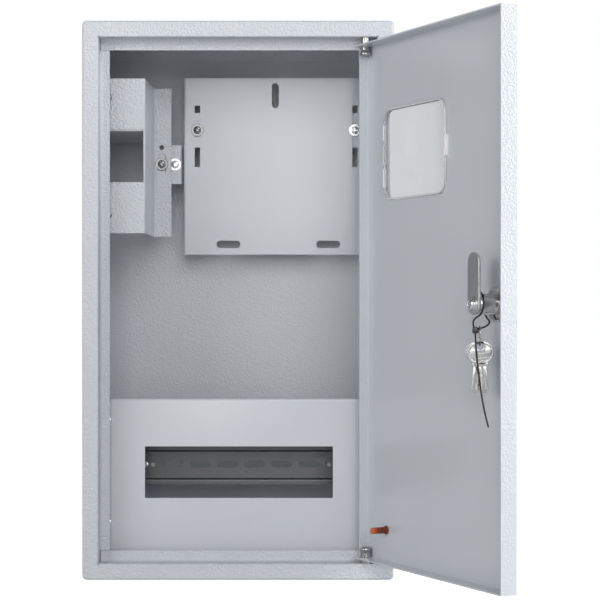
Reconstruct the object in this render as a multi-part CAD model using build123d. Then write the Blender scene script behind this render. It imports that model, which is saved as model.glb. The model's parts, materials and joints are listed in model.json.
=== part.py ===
from build123d import *
import math
import os

# Wall-mounted steel enclosure for an electricity meter and modular switchgear.
# The row of modules sits behind a screwed panel, the incoming breaker behind a sealed cover.
# Frame: rear face of the case on y = 0, front towards -Y, +Z up, x = 0 at mid width, z = 0 at mid height.
# A depth is a distance behind the front plane of the case.

# Case
case_width = 273.0
case_height = 490.0
case_depth = 150.0
sheet = 1.2
case_corner_radius = 4.0
front_bend_radius = 2.2
rim_width = 14.2
rabbet_depth = 17.0
rabbet_bend_radius = 3.0
rabbet_mouth_radius = 1.0
lip_side_width = 8.3
lip_end_width = 9.4
seam_gap = 0.4
relief_hole = 1.8
rear_flange_width = 14.4
fixing_hole = 5.5
fixing_inset_x = 41.0
fixing_shift_x = -3.8
knockout_diameter = 28.0
knockout_pitch = 60.0
knockout_count = 3
knockout_depth = 82.5
knockout_slit = 0.8
knockout_bridge = 5.0

# General sheet-metal values
bend_radius = 1.0
bracket_foot = 12.0
bracket_leg = 30.0
bracket_overlap = 9.0

# Door
door_gap_hinge = 4.0
door_gap_free = 1.2
door_gap_bottom = 4.0
door_gap_top = 6.8
door_flange_depth = 15.0
door_hinge_flange_depth = 9.4
door_bend_radius = 1.6
door_open_angle = 116.14
hinge_edge_distance = 6.3
hinge_depth = 6.4

# Hinge pins
pin_diameter = 6.3
pin_running_clearance = 0.05
pin_neck_diameter = 7.5
pin_spigot_length = 5.0
pin_top_head_diameter = 10.0
pin_top_head_height = 5.8
pin_top_neck_length = 2.3
pin_bottom_collar_diameter = 10.0
pin_bottom_head_diameter = 9.6
pin_bottom_collar_length = 4.7
pin_bottom_head_height = 4.0
pin_end_gap = 0.3

# Viewing window of the door
window_from_hinge = 27.0
window_width = 104.0
window_height = 78.7
window_drop = 119.5
window_corner_radius = 12.0
pane_thickness = 1.5
pane_overlap = 4.0
pane_rim_height = 2.0
pane_clip_height = 17.4
pane_clip_reach = 2.3
pane_clip_width = 4.0

# Earth stud on the door
stud_from_hinge = 29.2
stud_rise = 27.8
stud_diameter = 4.0
stud_length = 13.0
cap_diameter = 5.7
cap_length = 15.5
cap_flange_diameter = 7.6
cap_flange_thickness = 1.6

# Cam lock
lock_from_hinge = 206.0
lock_height = -4.7
barrel_diameter = 16.0
barrel_length = 20.0
lock_head_diameter = 21.0
lock_head_thickness = 2.4
lock_nut_flats = 26.0
lock_nut_thickness = 4.0
nut_chamfer = 1.2
plug_diameter = 10.0
plug_running_clearance = 0.05
plug_collar_diameter = 12.5
plug_collar_thickness = 0.9
plug_end_gap = 0.1
plug_square = 7.0
keyway_width = 1.3
keyway_height = 7.0
keyway_depth = 6.0
cam_width = 16.5
cam_reach = 40.3
cam_thickness = 2.1
cam_washer_diameter = 12.0
cam_washer_thickness = 1.0
cam_screw_head = 8.2
cam_screw_head_height = 2.9

# Keys on their cable tie
tie_diameter = 1.6
tie_barrel_clearance = 0.3
tie_head_size = 4.4
tie_head_height = 5.0
tie_head_drop = 19.8
tie_head_behind = 21.9
tie_head_shift = 1.3
tie_wrap_behind = 8.1
tie_tail_length = 74.5
tie_tail_forward = 4.6
tie_tail_lean = 9.6
key_bow_width = 21.0
key_bow_height = 17.8
key_thickness = 1.9
key_gap = 0.4
key_hole = 5.0
key_blade_width = 6.4
key_length = 40.0
key_fan_angle = 6.0
key_hole_wall = 1.6
key_cut_count = 4
key_cut_pitch = 3.6
key_cut_size = 1.7
key_cut_inset = 2.0
key_shoulder_reach = 1.5
key_shoulder_height = 3.0
key_blade_overlap = 1.5
key_hang_slack = 0.7
key_link_shift = 3.8
key_link_depth = 19.45
key_link_drop = 24.1
link_wire = 1.2
link_width = 10.0
link_height = 14.6

# Cover of the incoming breaker
cover_depth = 27.0
cover_flange_depth = 98.0
cover_height = 137.7
cover_drop = 116.15
cover_left_margin = 7.3
cover_face_reach = 52.4
cover_flange_reach = 54.5
cover_reach = 71.2
cover_window_height = 46.8
cover_window_inset = 15.5
cover_seal_slot_width = 8.0
cover_seal_slot_length = 20.0
cover_seal_hole = 4.5
cover_seal_hole_rise = 15.5
cover_screw_edge_distance = 16.4
cover_flange_screw_inset = 9.0
cover_seal_screw_drop = -1.4
cover_bracket_height = 24.0
joggle_bend_radius = 0.8
shelf_clearance = 0.3
standoff_height = 36.2
standoff_below_cover = 1.35
standoff_step = 3.8
standoff_face_width = 9.0
standoff_face_behind = 4.3
standoff_joggle_run = 2.0
standoff_screw_inset = 3.2
cover_fixing_inset = 20.0

# Meter plate
meter_plate_depth = 115.0
meter_plate_width = 174.4
meter_plate_height = 165.9
meter_plate_margin = 17.3
meter_plate_drop = 118.15
meter_plate_return = 8.0
meter_top_slot_width = 6.6
meter_top_slot_length = 23.5
meter_top_slot_margin = 4.6
meter_top_slot_shift = -0.8
meter_side_slot_width = 5.0
meter_side_slot_length = 57.8
meter_side_slot_inset = 13.1
meter_side_slot_rise = 28.3
meter_foot_slot_width = 7.0
meter_foot_slot_length = 22.6
meter_foot_slot_inset = 40.3
meter_foot_slot_margin = 9.6
meter_foot_slot_shift = 2.0
meter_bracket_height = 32.3
meter_bracket_width = 18.0
meter_screw_rise = 34.0

# Panel over the row of modules
panel_depth = 27.0
panel_height = 150.5
panel_side_gap = 4.3
panel_bottom_gap = 5.8
panel_return = 12.0
panel_window_width = 167.4
panel_window_height = 46.0
panel_window_drop = 65.4
panel_screw_inset = 20.0
panel_screw_top_drop = 19.3
panel_screw_spacing = 90.8
panel_bracket_top_drop = 7.5
panel_bracket_height = 120.0

# Mounting rail, 35 mm wide and 7.5 mm deep
rail_width = 35.0
rail_inner_width = 27.0
rail_depth = 7.5
rail_sheet = 1.0
rail_bend_radius = 0.8
rail_length = 204.0
rail_flange_depth = 71.5
rail_above_window_centre = 2.5
rail_slot_pitch = 25.0
rail_slot_length = 19.0
rail_slot_width = 5.8
rail_slot_count = 6
rail_screw_inset = 14.0
rail_mark_hole = 4.0
rail_mark_hole_inset = 21.2
rail_support_width = 20.0
rail_support_height = 26.0

# Fasteners
screw_shank = 4.0
screw_head = 7.2
screw_head_height = 2.2
washer_diameter = 11.6
washer_thickness = 0.9
washer_bore = 4.4
thread_reach = 5.0
cross_width = 0.9
cross_length = 4.4
cross_depth = 1.1

# Derived positions
half_width = case_width / 2
half_height = case_height / 2
front = -case_depth
opening_half_width = half_width - rim_width
opening_half_height = half_height - rim_width
back_inside = -sheet
hinge_x = opening_half_width - door_gap_hinge - hinge_edge_distance
hinge_y = front + hinge_depth
door_bottom = -opening_half_height + door_gap_bottom
door_top = opening_half_height - door_gap_top
door_free_x = -opening_half_width + door_gap_free
window_centre_height = half_height - window_drop
stud_height = door_bottom + stud_rise
cover_centre_height = half_height - cover_drop
standoff_centre_height = cover_centre_height - standoff_below_cover
meter_plate_centre_height = half_height - meter_plate_drop
panel_bottom = -half_height + sheet + panel_bottom_gap
panel_top = panel_bottom + panel_height
panel_window_centre = panel_top - panel_window_drop
rail_centre_height = panel_window_centre + rail_above_window_centre
cover_face_edge = -half_width + cover_face_reach
cover_flange_edge = -half_width + cover_flange_reach
cover_right_edge = -half_width + cover_reach
cover_window_left = -half_width + cover_window_inset
cover_fixing_x = -half_width + cover_fixing_inset
panel_screw_x = half_width - panel_screw_inset
fixing_spacing_x = case_width - 2 * fixing_inset_x
rail_screw_x = rail_length / 2 - rail_screw_inset
rail_mark_hole_x = rail_length / 2 - rail_mark_hole_inset
meter_plate_centre_x = half_width - meter_plate_margin - meter_plate_width / 2
meter_side_slot_x = meter_plate_width / 2 - meter_side_slot_inset
meter_foot_slot_x = meter_plate_width / 2 - meter_foot_slot_inset
door_hinge_edge_x = hinge_x + hinge_edge_distance
skin_inner_y = front + sheet
cut_extra = 2.0


def block(x0, x1, y0, y1, z0, z1):
    """Box between two corners."""
    centre = Pos((x0 + x1) / 2, (y0 + y1) / 2, (z0 + z1) / 2)
    return centre * Box(abs(x1 - x0), abs(y1 - y0), abs(z1 - z0))


def at_depth(depth):
    """Y of a plane that lies this far behind the front of the case."""
    return front + depth


def rod_y(x, z, y0, y1, diameter):
    """Cylinder along Y between two planes."""
    return Pos(x, (y0 + y1) / 2, z) * Rot(90, 0, 0) * Cylinder(diameter / 2, abs(y1 - y0))


def rod_z(x, y, z0, z1, diameter):
    """Cylinder along Z between two heights."""
    return Pos(x, y, (z0 + z1) / 2) * Cylinder(diameter / 2, abs(z1 - z0))


def slot_y(x, z, length, width, y0, y1, upright=False):
    """Round-ended slot through a plate that faces the front."""
    outline = Plane.XZ * Rot(0, 0, 90 if upright else 0) * SlotOverall(length, width)
    return Pos(x, max(y0, y1), z) * extrude(outline, abs(y1 - y0))


def folded_on_z(points, z0, z1, thickness=sheet, radius=bend_radius):
    """Sheet folded along the centre line given in X and Y, running from z0 to z1."""
    line = FilletPolyline(*points, radius=radius + thickness / 2)
    return Pos(0, 0, min(z0, z1)) * extrude(trace(line, thickness), abs(z1 - z0))


def folded_on_x(points, x0, x1, thickness=sheet, radius=bend_radius):
    """Sheet folded along the centre line given in Y and Z, running from x0 to x1."""
    line = FilletPolyline(*points, radius=radius + thickness / 2)
    return Pos(min(x0, x1), 0, 0) * extrude(Plane.YZ * trace(line, thickness), abs(x1 - x0))


def cross_recess(length, width, depth):
    """Cutter for a cross-head drive, open towards +Z from z = 0 down."""
    bar = Pos(0, 0, -depth / 2) * Box(length, width, depth)
    return bar + Rot(0, 0, 90) * bar


def pan_screw(head, head_height, shank, length):
    """Pan-head screw that faces the front: seat of the head at the origin, shank towards +Y."""
    cap = Pos(0, 0, head_height / 2) * Cylinder(head / 2, head_height)
    cap = fillet(cap.edges().group_by(Axis.Z)[-1], head_height * 0.6)
    cap -= Pos(0, 0, head_height) * cross_recess(cross_length, cross_width, cross_depth)
    body = Pos(0, 0, -length / 2) * Cylinder(shank / 2, length)
    body = chamfer(body.edges().group_by(Axis.Z)[0], shank * 0.15)
    return Rot(90, 0, 0) * (cap + body)


def plain_washer(diameter, bore, thickness):
    """Washer that faces the front, its back on y = 0."""
    ring = Cylinder(diameter / 2, thickness) - Cylinder(bore / 2, thickness * 2)
    ring = chamfer(ring.edges().filter_by(GeomType.CIRCLE).sort_by(SortBy.RADIUS)[-2:], thickness * 0.2)
    return Pos(0, -thickness / 2, 0) * Rot(90, 0, 0) * ring


def on_open_door(piece):
    """Carries a piece that is drawn on the shut door to the open rest position."""
    return Pos(hinge_x, hinge_y, 0) * Rot(0, 0, door_open_angle) * Pos(-hinge_x, -hinge_y, 0) * piece


def door_point(along, behind, height):
    """Point of the open door: distance from the hinge axis, distance behind the outer face, height."""
    turn = math.radians(180 + door_open_angle)
    ux, uy = math.cos(turn), math.sin(turn)
    inward = behind - hinge_depth
    return (hinge_x + along * ux + inward * uy, hinge_y + along * uy - inward * ux, height)


def rounded_case_block(inset, y0, y1, radius, front_radius):
    """Block with the case's outline, inset on all sides, its upright corners and front edges rounded."""
    body = block(-half_width + inset, half_width - inset, y0, y1, -half_height + inset, half_height - inset)
    body = fillet(body.edges().filter_by(Axis.Y), radius)
    return fillet(body.faces().sort_by(Axis.Y)[0].edges(), front_radius)


def knockout(x, z_wall, side):
    """Slits round one pre-punched cable entry in the top or bottom wall, with two bridges left."""
    z0, z1 = z_wall - side * sheet * 2, z_wall + side * sheet
    y = at_depth(knockout_depth)
    ring = rod_z(x, y, z0, z1, knockout_diameter)
    ring -= rod_z(x, y, z0, z1, knockout_diameter - 2 * knockout_slit)
    reach = knockout_diameter
    return ring - block(x - knockout_bridge / 2, x + knockout_bridge / 2, y - reach, y + reach, z0, z1)


def side_tray(side):
    """Side wall of the rabbet with its lip and the bend between them."""
    x0, x1 = side * opening_half_width, side * (opening_half_width - lip_side_width)
    back = at_depth(rabbet_depth + sheet)
    reach = opening_half_height - lip_end_width - seam_gap
    solid = block(x0 + side * sheet, x1, front + sheet / 2, back, -reach, reach)
    outer_bend = solid.edges().filter_by(Axis.Z).sort_by(lambda e: -side * e.center().X + -e.center().Y)[0]
    solid = fillet(outer_bend, rabbet_bend_radius + sheet)
    pocket = block(x0, x1 - side * cut_extra, front - cut_extra, back - sheet, -reach - 1, reach + 1)
    inner_bend = pocket.edges().filter_by(Axis.Z).sort_by(lambda e: -side * e.center().X + -e.center().Y)[0]
    pocket = fillet(inner_bend, rabbet_bend_radius)
    full = opening_half_height + sheet
    return solid - pocket + block(x0, x0 + side * sheet, front + sheet / 2, back - sheet, -full, full)


def end_tray(side):
    """Top or bottom wall of the rabbet with its full-width lip and the bend between them."""
    z0, z1 = side * opening_half_height, side * (opening_half_height - lip_end_width)
    back = at_depth(rabbet_depth + sheet)
    reach = opening_half_width - seam_gap
    solid = block(-reach, reach, front + sheet / 2, back, z0 + side * sheet, z1)
    outer_bend = solid.edges().filter_by(Axis.X).sort_by(lambda e: -side * e.center().Z + -e.center().Y)[0]
    solid = fillet(outer_bend, rabbet_bend_radius + sheet)
    pocket = block(-reach - 1, reach + 1, front - cut_extra, back - sheet, z0, z1 - side * cut_extra)
    inner_bend = pocket.edges().filter_by(Axis.X).sort_by(lambda e: -side * e.center().Z + -e.center().Y)[0]
    pocket = fillet(inner_bend, rabbet_bend_radius)
    full = opening_half_width + sheet
    return solid - pocket + block(-full, full, front + sheet / 2, back - sheet, z0, z0 + side * sheet)


def fixing_holes(y0, y1):
    """The four wall-fixing holes as cutters."""
    height = half_height - sheet - rear_flange_width / 2
    cutters = Part()
    for side_x in (-1, 1):
        for side_z in (-1, 1):
            x = fixing_shift_x + side_x * fixing_spacing_x / 2
            cutters += rod_y(x, side_z * height, y0, y1, fixing_hole)
    return cutters


def make_casing():
    """Case walls, front rim, door rabbet with its sealing lips, and the rear flanges."""
    shell = rounded_case_block(0, front, 0, case_corner_radius, front_bend_radius)
    hollow = rounded_case_block(
        sheet, front + sheet, cut_extra, case_corner_radius - sheet, front_bend_radius - sheet
    )
    body = shell - hollow
    w, h = opening_half_width, opening_half_height
    body -= block(-w, w, front - cut_extra, front + 2 * sheet, -h, h)
    for side in (-1, 1):
        body += side_tray(side)
        body += end_tray(side)
    mouth = [
        e for e in body.edges()
        if abs(e.center().Y - front) < 1e-3
        and (abs(abs(e.center().X) - w) < 1e-3 or abs(abs(e.center().Z) - h) < 1e-3)
    ]
    body = fillet(mouth, rabbet_mouth_radius)
    # Hinge pin holes on both hands, so that the door can be hung on either side
    hole = pin_diameter + 2 * pin_running_clearance
    for x in (-hinge_x, hinge_x):
        body -= rod_z(x, hinge_y, h - sheet, h + 2 * sheet, hole)
        body -= rod_z(x, hinge_y, -h - 2 * sheet, -h + sheet, hole)
    for x in (-w, w):
        for z in (-h, h):
            body -= rod_y(x, z, front - cut_extra, front + 2 * sheet, relief_hole)
    # Rear flanges of the top and bottom walls, to which the back panel is welded
    inner_x, inner_z = half_width - sheet, half_height - sheet
    flange_y = -2 * sheet
    for side in (-1, 1):
        edge_z = side * (inner_z - rear_flange_width)
        body += block(-inner_x, inner_x, flange_y, -sheet, side * inner_z, edge_z)
    body -= fixing_holes(flange_y - sheet, sheet)
    for side in (-1, 1):
        for i in range(knockout_count):
            x = (i - (knockout_count - 1) / 2) * knockout_pitch
            body -= knockout(x, side * half_height, side)
    return body


def make_back_panel():
    """Flat rear sheet with the wall-fixing holes."""
    inner_x, inner_z = half_width - sheet, half_height - sheet
    body = block(-inner_x, inner_x, -sheet, 0, -inner_z, inner_z)
    body = fillet(body.edges().filter_by(Axis.Y), case_corner_radius - sheet)
    return body - fixing_holes(-2 * sheet, sheet)


def make_breaker_cover():
    """Sealed cover of the incoming breaker: face, sloping web and fixing flange folded from one sheet."""
    z0 = cover_centre_height - cover_height / 2
    z1 = cover_centre_height + cover_height / 2
    face_y = at_depth(cover_depth) + sheet / 2
    flange_y = at_depth(cover_flange_depth) + sheet / 2
    left = -half_width + sheet + cover_left_margin
    points = [
        (left, face_y),
        (cover_face_edge, face_y),
        (cover_flange_edge, flange_y),
        (cover_right_edge, flange_y),
    ]
    body = folded_on_z(points, z0, z1)
    window_z0 = cover_centre_height - cover_window_height / 2
    window_z1 = cover_centre_height + cover_window_height / 2
    window_right = cover_face_edge - bend_radius
    body -= block(cover_window_left, window_right, face_y - sheet, face_y + sheet, window_z0, window_z1)
    screw_x, screw_z = seal_screw_place()
    y0, y1 = flange_y - sheet, flange_y + sheet
    body -= slot_y(screw_x, screw_z, cover_seal_slot_length, cover_seal_slot_width, y0, y1, upright=True)
    body -= rod_y(screw_x, screw_z + cover_seal_hole_rise, y0, y1, cover_seal_hole)
    for z in cover_fixing_heights():
        body -= rod_y(cover_fixing_x, z, face_y - sheet, face_y + sheet, washer_bore)
    return body


def seal_screw_place():
    """X and Z of the sealing screw in the cover's flange."""
    return cover_right_edge - cover_flange_screw_inset, cover_centre_height + cover_seal_screw_drop


def cover_fixing_heights():
    """Heights of the two screws at the cover's left edge."""
    half = cover_height / 2 - cover_screw_edge_distance
    return cover_centre_height - half, cover_centre_height + half


def make_cover_bracket(z):
    """Small angle on the left wall that takes one screw of the cover."""
    wall_x = -half_width + sheet * 1.5
    face_y = at_depth(cover_depth) + sheet * 1.5
    body = folded_on_z(
        [(wall_x, face_y + bracket_leg), (wall_x, face_y), (cover_fixing_x + bracket_overlap, face_y)],
        z - cover_bracket_height / 2, z + cover_bracket_height / 2,
    )
    return body - rod_y(cover_fixing_x, z, face_y - sheet, face_y + sheet, screw_shank)


def make_breaker_shelf():
    """Horizontal shelf over the breaker's place, folded up against the back panel."""
    z = cover_centre_height + cover_window_height / 2 - sheet / 2
    y0 = at_depth(cover_depth) + sheet + shelf_clearance
    back_y = back_inside - sheet / 2
    x0 = -half_width + sheet
    x1 = cover_face_edge - bend_radius - sheet
    return folded_on_x([(y0, z), (back_y, z), (back_y, z + bracket_foot)], x0, x1)


def make_cover_standoff():
    """Joggled bracket that carries the cover's flange and its sealing screw."""
    seat_y = at_depth(cover_flange_depth) + sheet * 1.5
    face_y = seat_y + standoff_step
    right_x = cover_right_edge + standoff_face_width - sheet / 2
    foot_y = back_inside - sheet / 2
    points = [
        (cover_flange_edge + sheet, seat_y),
        (cover_right_edge - standoff_face_behind - standoff_joggle_run, seat_y),
        (cover_right_edge - standoff_face_behind, face_y),
        (right_x, face_y),
        (right_x, foot_y),
        (right_x + bracket_foot, foot_y),
    ]
    z0 = standoff_centre_height - standoff_height / 2
    z1 = standoff_centre_height + standoff_height / 2
    body = folded_on_z(points, z0, z1, radius=joggle_bend_radius)
    x, z = seal_screw_place()
    body -= rod_y(x, z, seat_y - sheet, seat_y + sheet, screw_shank)
    x, z = standoff_screw_x(), standoff_centre_height
    return body - rod_y(x, z, face_y - sheet, face_y + sheet, screw_shank)


def standoff_screw_x():
    """X of the screw in the low face of the standoff."""
    return cover_right_edge + standoff_screw_inset


def meter_plate_edges():
    """Left, right, bottom and top of the meter plate."""
    return (
        meter_plate_centre_x - meter_plate_width / 2,
        meter_plate_centre_x + meter_plate_width / 2,
        meter_plate_centre_height - meter_plate_height / 2,
        meter_plate_centre_height + meter_plate_height / 2,
    )


def make_meter_plate():
    """Slotted mounting plate with side returns; it can be set higher or lower on its two screws."""
    left, right, bottom, top = meter_plate_edges()
    y = at_depth(meter_plate_depth) + sheet / 2
    back = y + meter_plate_return
    inner = sheet / 2
    body = folded_on_z(
        [(left + inner, back), (left + inner, y), (right - inner, y), (right - inner, back)], bottom, top
    )
    y0, y1 = y - sheet, y + sheet
    top_z = top - meter_top_slot_margin - meter_top_slot_length / 2
    x = meter_plate_centre_x + meter_top_slot_shift
    body -= slot_y(x, top_z, meter_top_slot_length, meter_top_slot_width, y0, y1, upright=True)
    side_z = meter_plate_centre_height + meter_side_slot_rise
    half_slot, half_length = meter_side_slot_width / 2, meter_side_slot_length / 2
    for side in (-1, 1):
        x = meter_plate_centre_x + side * meter_side_slot_x
        body -= block(x - half_slot, x + half_slot, y0, y1, side_z - half_length, side_z + half_length)
        x = meter_plate_centre_x + meter_foot_slot_shift + side * meter_foot_slot_x
        z = bottom + meter_foot_slot_margin
        body -= slot_y(x, z, meter_foot_slot_length, meter_foot_slot_width, y0, y1)
    return body


def make_meter_bracket(side):
    """Z-shaped standoff behind one side slot of the meter plate."""
    x = meter_plate_centre_x + side * meter_side_slot_x
    face_y = at_depth(meter_plate_depth) + sheet * 1.5
    foot_y = back_inside - sheet / 2
    half = meter_bracket_width / 2
    outer, inner = x + side * half, x - side * half
    z = meter_plate_centre_height + meter_screw_rise
    points = [(outer, face_y), (inner, face_y), (inner, foot_y), (inner - side * bracket_foot, foot_y)]
    body = folded_on_z(points, z - meter_bracket_height / 2, z + meter_bracket_height / 2)
    return body - rod_y(x, z, face_y - sheet, face_y + sheet, screw_shank)


def make_module_panel():
    """Panel over the row of modules, with its window and a stiffening return along the top."""
    y = at_depth(panel_depth) + sheet / 2
    half = half_width - sheet - panel_side_gap
    top = panel_top - sheet / 2
    body = folded_on_x([(y, panel_bottom), (y, top), (y + panel_return, top)], -half, half)
    half_window_width = panel_window_width / 2
    z0 = panel_window_centre - panel_window_height / 2
    z1 = panel_window_centre + panel_window_height / 2
    body -= block(-half_window_width, half_window_width, y - sheet, y + sheet, z0, z1)
    for x, z in panel_screw_places():
        body -= rod_y(x, z, y - sheet, y + sheet, washer_bore)
    return body


def panel_screw_places():
    """X and Z of the four screws of the module panel."""
    upper = panel_top - panel_screw_top_drop
    return [(x, z) for x in (-panel_screw_x, panel_screw_x) for z in (upper, upper - panel_screw_spacing)]


def make_panel_bracket(side):
    """Long angle on a side wall that takes two screws of the module panel."""
    wall_x = side * (half_width - sheet * 1.5)
    face_y = at_depth(panel_depth) + sheet * 1.5
    top = panel_top - panel_bracket_top_drop
    edge_x = side * (panel_screw_x - bracket_overlap)
    points = [(wall_x, face_y + bracket_leg), (wall_x, face_y), (edge_x, face_y)]
    body = folded_on_z(points, top - panel_bracket_height, top)
    for x, z in panel_screw_places():
        if x * side > 0:
            body -= rod_y(x, z, face_y - sheet, face_y + sheet, screw_shank)
    return body


def make_din_rail():
    """Slotted top-hat mounting rail."""
    z = rail_centre_height
    flange_y = at_depth(rail_flange_depth) + rail_sheet / 2
    web_y = at_depth(rail_flange_depth + rail_depth) - rail_sheet / 2
    half, inner = rail_width / 2, rail_inner_width / 2 - rail_sheet / 2
    points = [
        (flange_y, z + half), (flange_y, z + inner), (web_y, z + inner),
        (web_y, z - inner), (flange_y, z - inner), (flange_y, z - half),
    ]
    end = rail_length / 2
    body = folded_on_x(points, -end, end, thickness=rail_sheet, radius=rail_bend_radius)
    for i in range(rail_slot_count):
        x = (i - (rail_slot_count - 1) / 2) * rail_slot_pitch
        body -= slot_y(x, z, rail_slot_length, rail_slot_width, web_y - rail_sheet, web_y + rail_sheet)
    for side in (-1, 1):
        body -= rod_y(side * rail_mark_hole_x, z, web_y - rail_sheet, web_y + rail_sheet, rail_mark_hole)
        body -= rod_y(side * rail_screw_x, z, web_y - rail_sheet, web_y + rail_sheet, washer_bore)
    return body


def make_rail_support(side):
    """Z-shaped standoff that carries one end of the mounting rail."""
    face_y = at_depth(rail_flange_depth + rail_depth) + sheet / 2
    foot_y = back_inside - sheet / 2
    inner = side * (rail_screw_x - rail_support_width / 2)
    outer = side * (rail_screw_x + rail_support_width / 2)
    points = [(inner, face_y), (outer, face_y), (outer, foot_y), (outer + side * bracket_foot, foot_y)]
    z, half = rail_centre_height, rail_support_height / 2
    body = folded_on_z(points, z - half, z + half)
    return body - rod_y(side * rail_screw_x, z, face_y - sheet, face_y + sheet, screw_shank)


def screw_at(x, y, z, clamped):
    """Standard screw with its head seated on y, long enough for what it clamps."""
    screw = pan_screw(screw_head, screw_head_height, screw_shank, clamped + thread_reach)
    return Pos(x, y, z) * screw


def washer_at(x, y, z):
    """Standard washer with its back on y."""
    return Pos(x, y, z) * plain_washer(washer_diameter, washer_bore, washer_thickness)


def make_door_leaf():
    """Door folded as a shallow tray, with its cut-outs for the window, the lock and the hinge pins."""
    x0, x1 = door_free_x, door_hinge_edge_x
    body = block(x0, x1, front, front + door_flange_depth, door_bottom, door_top)
    body = fillet(body.faces().sort_by(Axis.Y)[0].edges(), door_bend_radius)
    z0, z1 = door_bottom + sheet, door_top - sheet
    free_y = front + door_flange_depth + cut_extra
    inside = block(x0 + sheet, x1 - sheet, skin_inner_y, free_y, z0, z1)
    inside = fillet(inside.faces().sort_by(Axis.Y)[0].edges(), door_bend_radius - sheet)
    body -= inside
    body -= block(x1 - 2 * sheet, x1 + cut_extra, front + door_hinge_flange_depth, free_y, z0, z1)
    window = Plane.XZ * RectangleRounded(window_width, window_height, window_corner_radius)
    body -= Pos(window_centre_x(), front + 2 * sheet, window_centre_height) * extrude(window, 3 * sheet)
    body -= rod_y(lock_x(), lock_height, front - sheet, front + 2 * sheet, barrel_diameter)
    for z in (door_bottom, door_top):
        body -= rod_z(hinge_x, hinge_y, z - 2 * sheet, z + 2 * sheet, pin_neck_diameter)
    return body


def window_centre_x():
    """X of the window's centre on the shut door."""
    return hinge_x - window_from_hinge - window_width / 2


def lock_x():
    """X of the lock's axis on the shut door."""
    return hinge_x - lock_from_hinge


def rounded_plate(width, height, radius, y0, y1):
    """Round-cornered plate that faces the front, centred on x = z = 0."""
    outline = Plane.XZ * RectangleRounded(width, height, radius)
    return Pos(0, max(y0, y1), 0) * extrude(outline, abs(y1 - y0))


def make_window_pane():
    """Clip-in window: outer bezel, hollow plug through the skin, clear floor and two side clips."""
    w, h, r = window_width, window_height, window_corner_radius
    bezel_y = front - pane_thickness
    rim_y = skin_inner_y + pane_rim_height
    body = rounded_plate(w + 2 * pane_overlap, h + 2 * pane_overlap, r + pane_overlap, bezel_y, front)
    body += rounded_plate(w, h, r, front - pane_thickness / 2, rim_y)
    wall = pane_thickness
    body -= rounded_plate(w - 2 * wall, h - 2 * wall, r - wall, front, rim_y + cut_extra)
    for side in (-1, 1):
        clip_x = side * w / 2
        body += block(
            clip_x - side * (pane_clip_width - pane_clip_reach), clip_x + side * pane_clip_reach,
            skin_inner_y, rim_y, -pane_clip_height / 2, pane_clip_height / 2,
        )
    return Pos(window_centre_x(), 0, window_centre_height) * body


def make_hinge_pin_top():
    """Upper hinge pin: head inside the door, neck through the door, spigot in the case."""
    head_top = door_top - sheet - pin_top_neck_length
    shoulder = opening_half_height - pin_end_gap
    body = rod_z(0, 0, head_top - pin_top_head_height, head_top, pin_top_head_diameter)
    body += rod_z(0, 0, head_top, shoulder, pin_neck_diameter)
    body += rod_z(0, 0, shoulder, opening_half_height + sheet + pin_spigot_length, pin_diameter)
    ends = body.edges().filter_by(GeomType.CIRCLE).group_by(Axis.Z)
    body = chamfer(ends[0] + ends[-1], sheet / 2)
    return Pos(hinge_x, hinge_y, 0) * body


def make_hinge_pin_bottom():
    """Lower hinge pin: its collar rests on the case and carries the door."""
    collar_top = door_bottom + sheet + pin_bottom_collar_length
    seat = -opening_half_height
    body = rod_z(0, 0, collar_top, collar_top + pin_bottom_head_height, pin_bottom_head_diameter)
    collar = rod_z(0, 0, door_bottom + sheet, collar_top, pin_bottom_collar_diameter)
    body += chamfer(collar.edges().filter_by(GeomType.CIRCLE).sort_by(Axis.Z)[0], sheet / 2)
    body += rod_z(0, 0, door_bottom, door_bottom + sheet, pin_neck_diameter)
    body += rod_z(0, 0, seat, door_bottom, pin_bottom_collar_diameter)
    body += rod_z(0, 0, seat - sheet - pin_spigot_length, seat, pin_diameter)
    ends = body.edges().filter_by(GeomType.CIRCLE).group_by(Axis.Z)
    body = chamfer(ends[0] + ends[-1], sheet / 2)
    return Pos(hinge_x, hinge_y, 0) * body


def make_earth_stud():
    """Threaded stud welded to the inside of the door."""
    x = hinge_x - stud_from_hinge
    body = rod_y(x, stud_height, skin_inner_y, skin_inner_y + stud_length, stud_diameter)
    return chamfer(body.edges().sort_by(Axis.Y)[-1], stud_diameter * 0.12)


def make_stud_cap():
    """Soft cap pushed over the earth stud."""
    y1 = skin_inner_y + cap_length
    body = rod_y(0, 0, skin_inner_y, y1, cap_diameter)
    body = fillet(body.edges().sort_by(Axis.Y)[-1], cap_diameter * 0.2)
    body += rod_y(0, 0, skin_inner_y, skin_inner_y + cap_flange_thickness, cap_flange_diameter)
    body -= rod_y(0, 0, skin_inner_y - sheet, skin_inner_y + stud_length, stud_diameter)
    return Pos(hinge_x - stud_from_hinge, 0, stud_height) * body


def barrel_end_y():
    """Inner end of the lock barrel on the shut door."""
    return front + barrel_length


def cam_back_y():
    """Face of the cam that looks towards the door skin, on the shut door."""
    return barrel_end_y() + plug_end_gap + plug_collar_thickness


def make_lock_body():
    """Lock housing: outer head and threaded barrel, bored for the plug."""
    bore = plug_diameter + 2 * plug_running_clearance
    head = rod_y(0, 0, front - lock_head_thickness, front, lock_head_diameter)
    head = fillet(head.edges().sort_by(Axis.Y)[0], lock_head_thickness * 0.6)
    body = head + rod_y(0, 0, front, barrel_end_y(), barrel_diameter)
    body -= rod_y(0, 0, front - lock_head_thickness - cut_extra, barrel_end_y() + cut_extra, bore)
    return Pos(lock_x(), 0, lock_height) * body


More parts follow.
